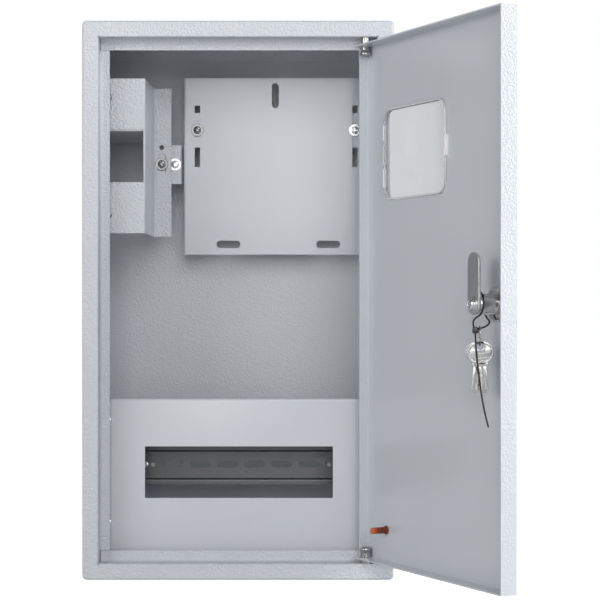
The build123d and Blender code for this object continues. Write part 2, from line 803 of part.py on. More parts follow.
def make_lock_nut():
    """Hexagon nut that clamps the lock against the door skin."""
    outline = Plane.XZ * RegularPolygon(lock_nut_flats / 2, 6, major_radius=False, rotation=30)
    y1 = skin_inner_y + lock_nut_thickness
    body = Pos(0, y1, 0) * extrude(outline, lock_nut_thickness)
    cone = rod_y(0, 0, skin_inner_y, y1, lock_nut_flats / math.cos(math.pi / 6))
    body &= chamfer(cone.edges().sort_by(Axis.Y)[-1], nut_chamfer)
    body -= rod_y(0, 0, front, y1 + sheet, barrel_diameter)
    return Pos(lock_x(), 0, lock_height) * body


def make_lock_plug():
    """Turning plug with its keyway, a collar behind the barrel and a square for the cam."""
    face_y = front - lock_head_thickness
    collar_y = barrel_end_y() + plug_end_gap
    cam_y = cam_back_y()
    body = rod_y(0, 0, face_y, collar_y, plug_diameter)
    body += rod_y(0, 0, collar_y, cam_y, plug_collar_diameter)
    half = plug_square / 2
    body += block(-half, half, cam_y, cam_y + cam_thickness, -half, half)
    width, height = keyway_width / 2, keyway_height / 2
    body -= block(-width, width, face_y - cut_extra, face_y + keyway_depth, -height, height)
    y1 = cam_y + cam_thickness
    body -= rod_y(0, 0, y1 - thread_reach, y1 + sheet, screw_shank)
    return Pos(lock_x(), 0, lock_height) * body


def make_cam():
    """Flat locking cam that points up when the lock is open."""
    y0 = cam_back_y()
    length = cam_reach + cam_width / 2
    centre = (cam_reach - cam_width / 2) / 2
    body = slot_y(0, centre, length, cam_width, y0, y0 + cam_thickness, upright=True)
    half = plug_square / 2
    body -= block(-half, half, y0 - sheet, y0 + cam_thickness + sheet, -half, half)
    return Pos(lock_x(), 0, lock_height) * body


def make_cam_washer():
    """Washer under the cam's screw."""
    y0 = cam_back_y() + cam_thickness
    body = rod_y(0, 0, y0, y0 + cam_washer_thickness, cam_washer_diameter)
    body = chamfer(body.edges().sort_by(Axis.Y)[-1], cam_washer_thickness * 0.3)
    body -= rod_y(0, 0, y0 - sheet, y0 + 2 * sheet, washer_bore)
    return Pos(lock_x(), 0, lock_height) * body


def make_cam_screw():
    """Screw that holds the cam on the plug."""
    seat = cam_back_y() + cam_thickness + cam_washer_thickness
    length = cam_washer_thickness + thread_reach - sheet / 2
    screw = Rot(0, 0, 180) * pan_screw(cam_screw_head, cam_screw_head_height, screw_shank, length)
    return Pos(lock_x(), seat, lock_height) * screw


def make_cable_tie():
    """Plastic tie: loop over the lock barrel, square head, and the long tail."""
    wrap = barrel_diameter / 2 + tie_barrel_clearance + tie_diameter / 2
    corner = math.tan(math.pi / 8)
    top = wrap / tie_head_drop
    # Shares of the wrap radius, of the way back from the wrap to the head, and of the drop to the head
    loop = [
        (0.02, 0.93, 0.97),
        (-0.77, 0.66, 0.85),
        (-1, 0.385, 0.455),
        (-1, 0.11, -corner * top),
        (-corner, 0, -top),
        (corner, 0, -top),
        (1, 0.11, -corner * top),
        (1, 0.40, 0.505),
        (0.615, 0.71, 0.89),
        (0.22, 0.935, 0.98),
    ]
    # Shares of the tail's lean, of its step forward and of its length
    fall = [
        (0, 0, 0),
        (-0.04, 0.98, 0.087),
        (0.05, 1, 0.236),
        (0.28, 1, 0.525),
        (0.615, 1, 0.813),
        (1, 1, 1),
    ]
    way_back = tie_head_behind - tie_wrap_behind
    points = []
    for along, back, down in loop:
        t, behind = lock_from_hinge + along * wrap, tie_wrap_behind + back * way_back
        points.append(door_point(t, behind, lock_height - down * tie_head_drop))
    head = door_point(lock_from_hinge + tie_head_shift, tie_head_behind, lock_height - tie_head_drop)
    tail = []
    for lean, step, down in fall:
        x, y = head[0] + lean * tie_tail_lean, head[1] - step * tie_tail_forward
        tail.append((x, y, head[2] - down * tie_tail_length))
    body = round_strand(points, tie_diameter) + round_strand(tail, tie_diameter)
    return body + Pos(*head) * Box(tie_head_size, tie_head_size, tie_head_height)


def round_strand(points, diameter):
    """Round bar along straight runs joined by tangent arcs."""
    radii = []
    for before, corner, after in zip(points, points[1:], points[2:]):
        a, b = Vector(*corner) - Vector(*before), Vector(*after) - Vector(*corner)
        turn = math.radians(a.get_angle(b))
        radii.append(0.45 * min(a.length, b.length) / math.tan(turn / 2))
    path = FilletPolyline(*points, radius=radii)
    section = Plane(path @ 0, z_dir=path % 0) * Circle(diameter / 2)
    return sweep(section, path=path)


def key_link_centre():
    """Centre of the oval link between the tie and the keys."""
    return door_point(lock_from_hinge + key_link_shift, key_link_depth, lock_height - key_link_drop)


def make_key_link():
    """Oval wire link through both key bows and round the tie."""
    path = Plane.YZ * SlotOverall(link_height, link_width, rotation=90)
    wire = path.faces()[0].outer_wire()
    section = Plane(wire @ 0, z_dir=wire % 0) * Circle(link_wire / 2)
    return Pos(*key_link_centre()) * sweep(section, path=wire)


def make_key(side):
    """Flat key: oval bow with its hanging hole, shoulder, and bitted blade."""
    bow_top = key_hole / 2 + key_hole_wall
    bow = Pos(0, bow_top - key_bow_height / 2) * Ellipse(key_bow_width / 2, key_bow_height / 2)
    blade_top = bow_top - key_bow_height + key_blade_overlap
    blade_end = bow_top - key_length
    half = key_blade_width / 2
    shoulder = blade_end + half
    tip = [(-half, blade_top), (-half, shoulder), (0, blade_end), (half, shoulder), (half, blade_top)]
    blade = Polygon(*tip, align=None)
    shoulder_width = key_blade_width + 2 * key_shoulder_reach
    collar = Pos(0, bow_top - key_bow_height) * Rectangle(shoulder_width, key_shoulder_height)
    outline = bow + blade + collar
    for i in range(key_cut_count):
        cut_z = shoulder + key_cut_inset + i * key_cut_pitch
        outline -= Pos(side * half, cut_z) * Rot(0, 0, 45) * Rectangle(key_cut_size, key_cut_size)
    outline -= Circle(key_hole / 2)
    body = extrude(Plane.XZ * outline, key_thickness / 2, both=True)
    centre = key_link_centre()
    hang = centre[2] - link_height / 2 + link_wire / 2 + key_hang_slack - key_hole / 2
    y = centre[1] + side * (key_thickness + key_gap) / 2
    return Pos(centre[0], y, hang) * Rot(0, side * key_fan_angle, 0) * body


def build_root():
    """Pieces that stay with the case."""
    nodes = {
        "casing": make_casing(),
        "back_panel": make_back_panel(),
        "breaker_cover": make_breaker_cover(),
        "breaker_shelf": make_breaker_shelf(),
        "cover_standoff": make_cover_standoff(),
        "meter_plate": make_meter_plate(),
        "module_panel": make_module_panel(),
        "din_rail": make_din_rail(),
    }
    cover_y, panel_y = at_depth(cover_depth), at_depth(panel_depth)
    for name, z in zip(("lower", "upper"), cover_fixing_heights()):
        nodes[f"cover_bracket_{name}"] = make_cover_bracket(z)
        nodes[f"cover_screw_{name}"] = screw_at(cover_fixing_x, cover_y, z, 2 * sheet)
    seal_x, seal_z = seal_screw_place()
    seal_y = at_depth(cover_flange_depth)
    nodes["seal_washer"] = washer_at(seal_x, seal_y, seal_z)
    under_head = washer_thickness + sheet
    nodes["seal_screw"] = screw_at(seal_x, seal_y - washer_thickness, seal_z, under_head + sheet)
    face_y = seal_y + sheet + standoff_step
    x, z = standoff_screw_x(), standoff_centre_height
    nodes["standoff_washer"] = washer_at(x, face_y, z)
    nodes["standoff_screw"] = screw_at(x, face_y - washer_thickness, z, under_head)
    plate_y = at_depth(meter_plate_depth)
    meter_z = meter_plate_centre_height + meter_screw_rise
    for name, side in (("left", -1), ("right", 1)):
        x = meter_plate_centre_x + side * meter_side_slot_x
        nodes[f"meter_bracket_{name}"] = make_meter_bracket(side)
        nodes[f"meter_washer_{name}"] = washer_at(x, plate_y, meter_z)
        nodes[f"meter_screw_{name}"] = screw_at(x, plate_y - washer_thickness, meter_z, under_head + sheet)
        nodes[f"panel_bracket_{name}"] = make_panel_bracket(side)
        nodes[f"rail_support_{name}"] = make_rail_support(side)
        x, web_y = side * rail_screw_x, at_depth(rail_flange_depth + rail_depth) - rail_sheet
        nodes[f"rail_screw_{name}"] = screw_at(x, web_y, rail_centre_height, rail_sheet + sheet)
    names = ("left_upper", "left_lower", "right_upper", "right_lower")
    for name, (x, z) in zip(names, panel_screw_places()):
        nodes[f"panel_screw_{name}"] = screw_at(x, panel_y, z, 2 * sheet)
    return nodes


def build_door():
    """Pieces that swing with the door, the lock's turning pieces included."""
    shut = {
        "door_leaf": make_door_leaf(),
        "window_pane": make_window_pane(),
        "hinge_pin_top": make_hinge_pin_top(),
        "hinge_pin_bottom": make_hinge_pin_bottom(),
        "earth_stud": make_earth_stud(),
        "stud_cap": make_stud_cap(),
        "lock_body": make_lock_body(),
        "lock_nut": make_lock_nut(),
        "lock_plug": make_lock_plug(),
        "cam": make_cam(),
        "cam_washer": make_cam_washer(),
        "cam_screw": make_cam_screw(),
    }
    return {name: on_open_door(piece) for name, piece in shut.items()}


def build_keys():
    """Cable tie and keys, which hang from the lock barrel."""
    return {
        "cable_tie": make_cable_tie(),
        "key_link": make_key_link(),
        "key_front": make_key(-1),
        "key_back": make_key(1),
    }


os.makedirs("parts", exist_ok=True)
for name, piece in {**build_root(), **build_door(), **build_keys()}.items():
    piece.label = name
    export_step(piece, f"parts/{name}.step")
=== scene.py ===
import json
import math

import bmesh
import bpy
from mathutils import Matrix, Vector


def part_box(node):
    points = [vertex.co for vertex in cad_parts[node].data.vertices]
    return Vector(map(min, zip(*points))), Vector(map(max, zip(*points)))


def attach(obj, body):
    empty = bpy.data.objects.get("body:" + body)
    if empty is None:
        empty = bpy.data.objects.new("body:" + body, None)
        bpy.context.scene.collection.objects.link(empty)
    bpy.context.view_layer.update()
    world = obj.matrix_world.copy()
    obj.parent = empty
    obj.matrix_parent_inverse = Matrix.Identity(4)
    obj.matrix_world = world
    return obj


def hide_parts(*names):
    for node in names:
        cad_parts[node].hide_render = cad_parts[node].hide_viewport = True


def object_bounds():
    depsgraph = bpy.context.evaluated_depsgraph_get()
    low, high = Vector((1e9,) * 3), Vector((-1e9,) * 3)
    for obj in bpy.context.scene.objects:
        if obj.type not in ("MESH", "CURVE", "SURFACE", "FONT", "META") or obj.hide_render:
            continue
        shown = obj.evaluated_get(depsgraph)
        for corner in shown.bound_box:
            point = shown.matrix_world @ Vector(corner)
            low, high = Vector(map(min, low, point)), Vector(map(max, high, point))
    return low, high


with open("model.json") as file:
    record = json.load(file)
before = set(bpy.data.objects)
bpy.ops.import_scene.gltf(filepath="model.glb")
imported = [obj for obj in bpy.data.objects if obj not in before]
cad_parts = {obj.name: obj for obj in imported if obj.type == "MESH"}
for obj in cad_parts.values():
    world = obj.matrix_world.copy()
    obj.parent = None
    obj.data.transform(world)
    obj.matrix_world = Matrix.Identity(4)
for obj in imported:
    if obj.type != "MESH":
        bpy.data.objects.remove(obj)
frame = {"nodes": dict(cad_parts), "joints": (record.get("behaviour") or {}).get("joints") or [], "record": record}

# Looks of a wall-mounted electrical enclosure: powder-coated steel, galvanized rail, plated lock and
# fasteners, clear window, keys on a cable tie. The solids come from the frame; what is small and
# detailed is made here in their place. Lengths in the settings are in metres, angles in radians.

bl_info = {
    "name": "Electrical Enclosure Looks",
    "version": (1, 0, 0),
    "blender": (4, 5, 0),
    "location": "View3D > Sidebar > Enclosure",
    "description": "Finishes and small pieces of a wall-mounted electrical enclosure",
    "category": "Object",
}

CAD_BOX = [list(corner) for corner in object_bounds()]
MM = 0.001

JOINTS = {joint["name"]: joint for joint in frame["joints"]}
HINGE = Vector(JOINTS["door_hinge"]["pos_m"])
UP = Vector((0, 0, 1))
DOOR_IN = -Vector(JOINTS["lock_turn"]["axis"])
DOOR_ALONG = UP.cross(DOOR_IN)
FRONT = Vector((0, -1, 0))

# Sheet-metal pieces, and those whose coat lies smooth
COATED = [
    "casing", "back_panel", "breaker_cover", "breaker_shelf", "cover_standoff", "meter_plate",
    "module_panel", "cover_bracket_upper", "cover_bracket_lower", "meter_bracket_left",
    "meter_bracket_right", "panel_bracket_left", "panel_bracket_right", "rail_support_left",
    "rail_support_right", "door_leaf",
]
SMOOTH = ["meter_plate", "module_panel", "breaker_shelf", "meter_bracket_left", "meter_bracket_right"]

# Fasteners drawn with painted shade, as they sit in shadow, and all screws and washers of the case
SHADED_FASTENERS = [
    "cover_screw_upper", "cover_screw_lower", "seal_screw", "meter_screw_left", "seal_washer",
    "meter_washer_left",
]
CASE_SCREWS = [
    "cover_screw_upper", "cover_screw_lower", "seal_screw", "standoff_screw", "meter_screw_left",
    "meter_screw_right", "panel_screw_left_upper", "panel_screw_left_lower",
    "panel_screw_right_upper", "panel_screw_right_lower", "rail_screw_left", "rail_screw_right",
]
CASE_WASHERS = ["seal_washer", "standoff_washer", "meter_washer_left", "meter_washer_right"]

DARK_STEEL = (0.45, 0.455, 0.46)
SMOOTH_ANGLE = 35.0  # degrees: sharper edges stay sharp


class PaintSettings(bpy.types.PropertyGroup):
    colour: bpy.props.FloatVectorProperty(
        name="Paint Colour", description="Colour of the powder coat", subtype="COLOR",
        size=3, min=0, max=1, default=(0.63, 0.655, 0.69))
    roughness: bpy.props.FloatProperty(
        name="Paint Roughness", description="Roughness of the hammered coat", default=0.22, min=0, max=1)
    smooth_roughness: bpy.props.FloatProperty(
        name="Smooth Roughness", description="Roughness where the coat lies smooth", default=0.13,
        min=0, max=1)
    peel_size: bpy.props.FloatProperty(
        name="Peel Size", description="Width of one bump of the hammered texture",
        default=0.0018, min=0.0002, unit="LENGTH")
    peel_depth: bpy.props.FloatProperty(
        name="Peel Depth", description="Height of the hammered texture",
        default=0.00062, min=0, unit="LENGTH")
    wall_depth: bpy.props.FloatProperty(
        name="Wall Depth", description="Height of the texture on the rear wall",
        default=0.00022, min=0, unit="LENGTH")
    smooth_depth: bpy.props.FloatProperty(
        name="Smooth Depth", description="Height of the texture where the coat lies smooth",
        default=0.00003, min=0, unit="LENGTH")


class MetalSettings(bpy.types.PropertyGroup):
    zinc: bpy.props.FloatVectorProperty(
        name="Zinc Colour", description="Colour of the bright zinc plate", subtype="COLOR",
        size=3, min=0, max=1, default=(0.78, 0.79, 0.80))
    nickel: bpy.props.FloatVectorProperty(
        name="Nickel Colour", description="Colour of the nickel plate", subtype="COLOR",
        size=3, min=0, max=1, default=(0.70, 0.70, 0.69))
    galvanized: bpy.props.FloatVectorProperty(
        name="Galvanized Colour", description="Colour of the galvanized rail", subtype="COLOR",
        size=3, min=0, max=1, default=(0.16, 0.165, 0.17))
    spangle_size: bpy.props.FloatProperty(
        name="Spangle Size", description="Width of one crystal of the galvanized rail",
        default=0.0016, min=0.0005, unit="LENGTH")


class ScrewSettings(bpy.types.PropertyGroup):
    head: bpy.props.FloatProperty(
        name="Head Diameter", description="Diameter of the pan heads", default=0.0072, unit="LENGTH")
    head_height: bpy.props.FloatProperty(
        name="Head Height", description="Height of the pan heads", default=0.0022, unit="LENGTH")
    shank: bpy.props.FloatProperty(
        name="Shank Diameter", description="Diameter over the thread", default=0.004, unit="LENGTH")
    recess: bpy.props.FloatProperty(
        name="Recess Width", description="Tip-to-tip width of the cross recess", default=0.0046,
        unit="LENGTH")
    washer: bpy.props.FloatProperty(
        name="Washer Diameter", description="Outer diameter of the washers", default=0.0116,
        unit="LENGTH")
    washer_height: bpy.props.FloatProperty(
        name="Washer Thickness", description="Thickness of the washers", default=0.0009,
        unit="LENGTH")
    turn_seed: bpy.props.IntProperty(
        name="Turn Seed", description="Seed of the angle at which each screw came to rest", default=7)


class DoorSettings(bpy.types.PropertyGroup):
    skin_depth: bpy.props.FloatProperty(
        name="Hinge Depth", description="Distance of the hinge axis behind the door's outer face",
        default=0.0064, unit="LENGTH")
    skin: bpy.props.FloatProperty(
        name="Skin Thickness", description="Thickness of the door sheet", default=0.0012,
        unit="LENGTH")
    window_from_hinge: bpy.props.FloatProperty(
        name="Window From Hinge", description="Distance from the hinge axis to the cut-out",
        default=0.027, unit="LENGTH")
    window_width: bpy.props.FloatProperty(
        name="Window Width", description="Width of the cut-out", default=0.104, unit="LENGTH")
    window_height: bpy.props.FloatProperty(
        name="Window Height", description="Height of the cut-out", default=0.0787, unit="LENGTH")
    window_centre: bpy.props.FloatProperty(
        name="Window Centre", description="Height of the window's centre", default=0.1255,
        unit="LENGTH")
    window_corner: bpy.props.FloatProperty(
        name="Window Corner", description="Corner radius of the cut-out", default=0.012,
        unit="LENGTH")
    pane_colour: bpy.props.FloatVectorProperty(
        name="Pane Colour", description="Tint of the clear window", subtype="COLOR", size=3,
        min=0, max=1, default=(0.68, 0.70, 0.715))
    lock_from_hinge: bpy.props.FloatProperty(
        name="Lock From Hinge", description="Distance from the hinge axis to the lock",
        default=0.206, unit="LENGTH")
    lock_height: bpy.props.FloatProperty(
        name="Lock Height", description="Height of the lock's axis", default=-0.0047, unit="LENGTH")
    stud_from_hinge: bpy.props.FloatProperty(
        name="Stud From Hinge", description="Distance from the hinge axis to the earth stud",
        default=0.0292, unit="LENGTH")
    stud_height: bpy.props.FloatProperty(
        name="Stud Height", description="Height of the earth stud", default=-0.199, unit="LENGTH")


class LockSettings(bpy.types.PropertyGroup):
    barrel: bpy.props.FloatProperty(
        name="Barrel Diameter", description="Diameter over the barrel's thread", default=0.016,
        unit="LENGTH")
    barrel_length: bpy.props.FloatProperty(
        name="Barrel Length", description="Length of the barrel behind the door's outer face",
        default=0.020, unit="LENGTH")
    thread_pitch: bpy.props.FloatProperty(
        name="Thread Pitch", description="Pitch of the barrel's thread", default=0.001,
        unit="LENGTH")
    head: bpy.props.FloatProperty(
        name="Head Diameter", description="Diameter of the lock's outer head", default=0.021,
        unit="LENGTH")
    head_height: bpy.props.FloatProperty(
        name="Head Height", description="Height of the lock's outer head", default=0.0024,
        unit="LENGTH")
    nut_flats: bpy.props.FloatProperty(
        name="Nut Across Flats", description="Width of the nut across its flats", default=0.026,
        unit="LENGTH")
    nut_height: bpy.props.FloatProperty(
        name="Nut Height", description="Height of the nut", default=0.0024, unit="LENGTH")
    cam_width: bpy.props.FloatProperty(
        name="Cam Width", description="Width of the locking cam", default=0.0165, unit="LENGTH")
    cam_reach: bpy.props.FloatProperty(
        name="Cam Reach", description="Distance from the lock's axis to the tip of the cam",
        default=0.0403, unit="LENGTH")
    cam_thickness: bpy.props.FloatProperty(
        name="Cam Thickness", description="Thickness of the cam", default=0.0021, unit="LENGTH")
    cam_back: bpy.props.FloatProperty(
        name="Cam Back", description="Distance from the door's outer face to the back of the cam",
        default=0.0210, unit="LENGTH")


class KeySettings(bpy.types.PropertyGroup):
    strap: bpy.props.FloatProperty(
        name="Strap Diameter", description="Thickness of the cable tie's strap", default=0.0014,
        unit="LENGTH")
    rib_spacing: bpy.props.FloatProperty(
        name="Rib Spacing", description="Distance between the ribs of the strap", default=0.0009,
        unit="LENGTH")
    edge: bpy.props.FloatProperty(
        name="Edge Rounding", description="Rounding of the edges of the keys", default=0.00016,
        unit="LENGTH")
    bow_width: bpy.props.FloatProperty(
        name="Bow Width", description="Width of a key's bow", default=0.021, unit="LENGTH")
    bow_height: bpy.props.FloatProperty(
        name="Bow Height", description="Height of a key's bow", default=0.0178, unit="LENGTH")
    hole: bpy.props.FloatProperty(
        name="Hole Diameter", description="Diameter of the hole in the bow", default=0.005,
        unit="LENGTH")
    rim: bpy.props.FloatProperty(
        name="Rim Width", description="Width of the raised rim round the bow", default=0.0017,
        unit="LENGTH")
    blade_width: bpy.props.FloatProperty(
        name="Blade Width", description="Width of a key's blade", default=0.0064, unit="LENGTH")
    length: bpy.props.FloatProperty(
        name="Key Length", description="Length of a whole key", default=0.040, unit="LENGTH")
    thickness: bpy.props.FloatProperty(
        name="Key Thickness", description="Thickness of a key", default=0.0019, unit="LENGTH")
    fan: bpy.props.FloatProperty(
        name="Fan Angle", description="Angle by which each key hangs aside", default=math.radians(6),
        unit="ROTATION")


class StageSettings(bpy.types.PropertyGroup):
    lens: bpy.props.FloatProperty(
        name="Lens", description="Focal length of the camera in millimetres", default=106.5)
    shift_y: bpy.props.FloatProperty(
        name="Vertical Shift", description="Upward shift of the picture", default=0.025)
    camera: bpy.props.FloatVectorProperty(
        name="Camera", description="Place of the camera", subtype="TRANSLATION", size=3,
        default=(0.0544, -1.704, -0.0129))
    front_power: bpy.props.FloatProperty(
        name="Front Power", description="Power of the front softbox in watts", default=31.0)
    strip_power: bpy.props.FloatProperty(
        name="Strip Power", description="Power of the narrow strip beside the camera in watts",
        default=1.8)
    left_power: bpy.props.FloatProperty(
        name="Left Power", description="Power of the softbox on the left in watts", default=21.0)
    right_power: bpy.props.FloatProperty(
        name="Right Power", description="Power of the tall softbox on the right in watts", default=52.0)
    distance: bpy.props.FloatProperty(
        name="Lamp Distance", description="Distance of the softboxes from the object", default=2.8,
        unit="LENGTH")
    fill: bpy.props.FloatProperty(
        name="Fill", description="Strength of the light from all sides", default=0.18)


def settings():
    """The scene's settings of the enclosure."""
    return bpy.context.scene.enclosure


# Node helpers

def new_node(tree, kind, inputs=(), **options):
    """A node of that kind, with its options and plain input values set."""
    node = tree.nodes.new(kind)
    for option, value in options.items():
        setattr(node, option, value)
    for socket, value in dict(inputs).items():
        node.inputs[socket].default_value = value
    return node


def wire(tree, *links):
    """Links sockets: each link gives a node and its output, then a node and its input."""
    for source, output, target, entry in links:
        tree.links.new(source.outputs[output], target.inputs[entry])


def empty_tree(owner):
    """The emptied node tree of a material or of the world."""
    owner.use_nodes = True
    owner.node_tree.nodes.clear()
    return owner.node_tree


def surface_material(name, roughness, metallic=0.0):
    """A node material with one shader; returns its tree, the shader and its coordinates."""
    tree = empty_tree(bpy.data.materials.new(name))
    shader = new_node(tree, "ShaderNodeBsdfPrincipled", {"Roughness": roughness, "Metallic": metallic})
    output = new_node(tree, "ShaderNodeOutputMaterial")
    place = new_node(tree, "ShaderNodeTexCoord")
    wire(tree, (shader, "BSDF", output, "Surface"))
    return tree, shader, place.outputs["Object"]


def noise(tree, place, size, detail=2.0):
    """Noise whose features are about size metres wide; returns its value."""
    node = new_node(tree, "ShaderNodeTexNoise", {"Scale": 1 / size, "Detail": detail})
    tree.links.new(place, node.inputs["Vector"])
    return node.outputs["Fac"]


def tint(tree, shader, value, dark, light, span=(0.3, 0.7)):
    """Base colour that runs from dark to light as a value runs over the span."""
    ramp = new_node(tree, "ShaderNodeValToRGB")
    for element, position, colour in zip(ramp.color_ramp.elements, span, (dark, light)):
        element.position = position
        element.color = (*colour, 1)
    tree.links.new(value, ramp.inputs["Fac"])
    tree.links.new(ramp.outputs["Color"], shader.inputs["Base Color"])


def recolour(tree, shader, factor, colour):
    """Lays a colour over the base colour, as far as the factor says."""
    mix = new_node(tree, "ShaderNodeMix", data_type="RGBA")
    mix.inputs["B"].default_value = (*colour, 1)
    under = shader.inputs["Base Color"].links[0].from_socket
    tree.links.new(factor, mix.inputs["Factor"])
    tree.links.new(under, mix.inputs["A"])
    tree.links.new(mix.outputs["Result"], shader.inputs["Base Color"])


def spread(tree, value, socket, low, high):
    """Sends a value between 0.3 and 0.7 to a socket as low to high."""
    node = new_node(
        tree, "ShaderNodeMapRange",
        {"From Min": 0.3, "From Max": 0.7, "To Min": low, "To Max": high})
    tree.links.new(value, node.inputs["Value"])
    tree.links.new(node.outputs["Result"], socket)


def bump(tree, shader, value, depth):
    """Relief of that depth on the shader; returns its node."""
    node = new_node(tree, "ShaderNodeBump", {"Strength": 1.0, "Distance": depth})
    tree.links.new(value, node.inputs["Height"])
    tree.links.new(node.outputs["Normal"], shader.inputs["Normal"])
    return node


def scaled(colour, factor):
    """A colour made lighter or darker."""
    return tuple(min(1.0, channel * factor) for channel in colour)


def hammered(tree, place, size):
    """Height of the coat's hammered texture: soft bumps of two sizes."""
    large = noise(tree, place, size, detail=0.0)
    small = noise(tree, place, size * 0.45, detail=0.0)
    mix = new_node(tree, "ShaderNodeMath", {1: 0.4}, operation="MULTIPLY_ADD")
    tree.links.new(small, mix.inputs[0])
    tree.links.new(large, mix.inputs[2])
    return mix.outputs["Value"]


def powder_coat(name, depth, gloss, calm_side=None, calm_depth=0.0):
    """Hammered light grey powder coat, calmer on the faces that look to one side if that is given."""
    paint = settings().paint
    tree, shader, place = surface_material(name, gloss)
    tint(tree, shader, noise(tree, place, 0.09), scaled(paint.colour, 0.985), scaled(paint.colour, 1.015))
    spread(tree, noise(tree, place, 0.03), shader.inputs["Roughness"], gloss - 0.01, gloss + 0.01)
    relief = bump(tree, shader, hammered(tree, place, paint.peel_size), depth)
    if calm_side is not None:
        coordinates = new_node(tree, "ShaderNodeTexCoord")
        towards = new_node(tree, "ShaderNodeVectorMath", {1: tuple(calm_side)}, operation="DOT_PRODUCT")
        depths = new_node(tree, "ShaderNodeMapRange", {
            "From Min": 0.2, "From Max": 0.7, "To Min": depth, "To Max": calm_depth})
        wire(tree, (coordinates, "Normal", towards, 0), (towards, "Value", depths, "Value"),
             (depths, "Result", relief, "Distance"))
    return tree


def paint_hole_shade(tree, centre, radius, shade):
    """Paints shade into a coat: a dark circle in the front plane that stands in for the shade where a hole leads
    into the dark.
    """
    shader = [node for node in tree.nodes if node.type == "BSDF_PRINCIPLED"][0]
    place = new_node(tree, "ShaderNodeTexCoord")
    offset = new_node(tree, "ShaderNodeVectorMath", {1: tuple(centre)}, operation="SUBTRACT")
    flat = new_node(tree, "ShaderNodeVectorMath", {1: (1, 0, 1)}, operation="MULTIPLY")
    away = new_node(tree, "ShaderNodeVectorMath", operation="LENGTH")
    inside = new_node(tree, "ShaderNodeMath", {1: radius}, operation="LESS_THAN")
    wire(tree, (place, "Object", offset, 0), (offset, "Vector", flat, 0), (flat, "Vector", away, 0),
         (away, "Value", inside, 0))
    recolour(tree, shader, inside.outputs["Value"], scaled(settings().paint.colour, shade))


def galvanized_steel():
    """Dull zinc coating with its crystals."""
    metal = settings().metal
    tree, shader, place = surface_material("spangled_zinc", 0.42, metallic=1.0)
    crystals = new_node(tree, "ShaderNodeTexVoronoi", {"Scale": 1 / metal.spangle_size})
    tone = new_node(tree, "ShaderNodeRGBToBW")
    tree.links.new(place, crystals.inputs["Vector"])
    wire(tree, (crystals, "Color", tone, "Color"))
    tint(tree, shader, tone.outputs["Val"], scaled(metal.galvanized, 0.92), scaled(metal.galvanized, 1.08))
    spread(tree, tone.outputs["Val"], shader.inputs["Roughness"], 0.35, 0.52)
    bump(tree, shader, noise(tree, place, 0.0008), 0.00003)


def plated(name, colour, roughness, grain=0.0006, dull=0.0):
    """Plated or turned metal with a fine grain, with painted shade: darker where the attribute of painted shade is
    set.
    """
    tree, shader, place = surface_material(name, roughness, metallic=1.0)
    grains = noise(tree, place, grain, detail=4.0)
    tint(tree, shader, noise(tree, place, 0.004), scaled(colour, 0.9), scaled(colour, 1.08))
    spread(tree, grains, shader.inputs["Roughness"], roughness * 0.75, roughness * 1.3)
    bump(tree, shader, grains, 0.00001)
    if dull:
        shade_mask = new_node(tree, "ShaderNodeAttribute", attribute_name="dull")
        recolour(tree, shader, shade_mask.outputs["Fac"], scaled(colour, dull))


def moulded(name, colour, roughness):
    """Moulded plastic with a faint grain."""
    tree, shader, place = surface_material(name, roughness)
    tint(tree, shader, noise(tree, place, 0.005), scaled(colour, 0.88), scaled(colour, 1.12))
    bump(tree, shader, noise(tree, place, 0.0012, detail=3.0), 0.00002)


def clear_plastic():
    """Clear wavy plastic of the window, whiter and less clear where the attribute of painted glint is set: a
    painted highlight in place of glints.
    """
    tree, shader, place = surface_material("clear_window_plastic", 0.06)
    shader.inputs["Transmission Weight"].default_value = 1.0
    shader.inputs["IOR"].default_value = 1.46
    frosted = new_node(tree, "ShaderNodeAttribute", attribute_name="frosted")
    shade = new_node(tree, "ShaderNodeMix", data_type="RGBA")
    shade.inputs["A"].default_value = (*settings().door.pane_colour, 1)
    shade.inputs["B"].default_value = (0.97, 0.97, 0.97, 1)
    clear = new_node(tree, "ShaderNodeMapRange", {"To Min": 1.0, "To Max": 0.1})
    wire(tree, (frosted, "Fac", shade, "Factor"), (shade, "Result", shader, "Base Color"),
         (frosted, "Fac", clear, "Value"), (clear, "Result", shader, "Transmission Weight"))
    spread(tree, noise(tree, place, 0.02), shader.inputs["Roughness"], 0.04, 0.10)
    bump(tree, shader, noise(tree, place, 0.012), 0.00004)


def cap_plastic():
    """Soft translucent cap: orange where the attribute "tip" is set, darker where the stud fills it."""
    tree, shader, place = surface_material("soft_cap_plastic", 0.32)
    tip = new_node(tree, "ShaderNodeAttribute", attribute_name="tip")
    tint(tree, shader, tip.outputs["Fac"], (0.16, 0.022, 0.006), (0.62, 0.13, 0.02), span=(0.0, 1.0))
    shader.inputs["Subsurface Weight"].default_value = 0.15
    shader.inputs["Subsurface Scale"].default_value = 0.002
    bump(tree, shader, noise(tree, place, 0.002), 0.00003)


# Mesh helpers

def facing(origin, out):
    """Matrix of a place whose z axis points out of an upright surface and whose y axis points up."""
    z = out.normalized()
    matrix = Matrix((UP.cross(z), UP, z)).transposed().to_4x4()
    matrix.translation = origin
    return matrix


def on_door(along, height, inward=0.0):
    """Matrix of a place on the door, inward from its outer face and along it from the hinge axis."""
    depth = inward - settings().door.skin_depth
    return facing(HINGE + DOOR_ALONG * along + DOOR_IN * depth + UP * height, DOOR_IN)


def at_lock(inward=0.0):
    """Matrix of a place on the lock's axis, inward from the door's outer face."""
    door = settings().door
    return on_door(door.lock_from_hinge, door.lock_height, inward)


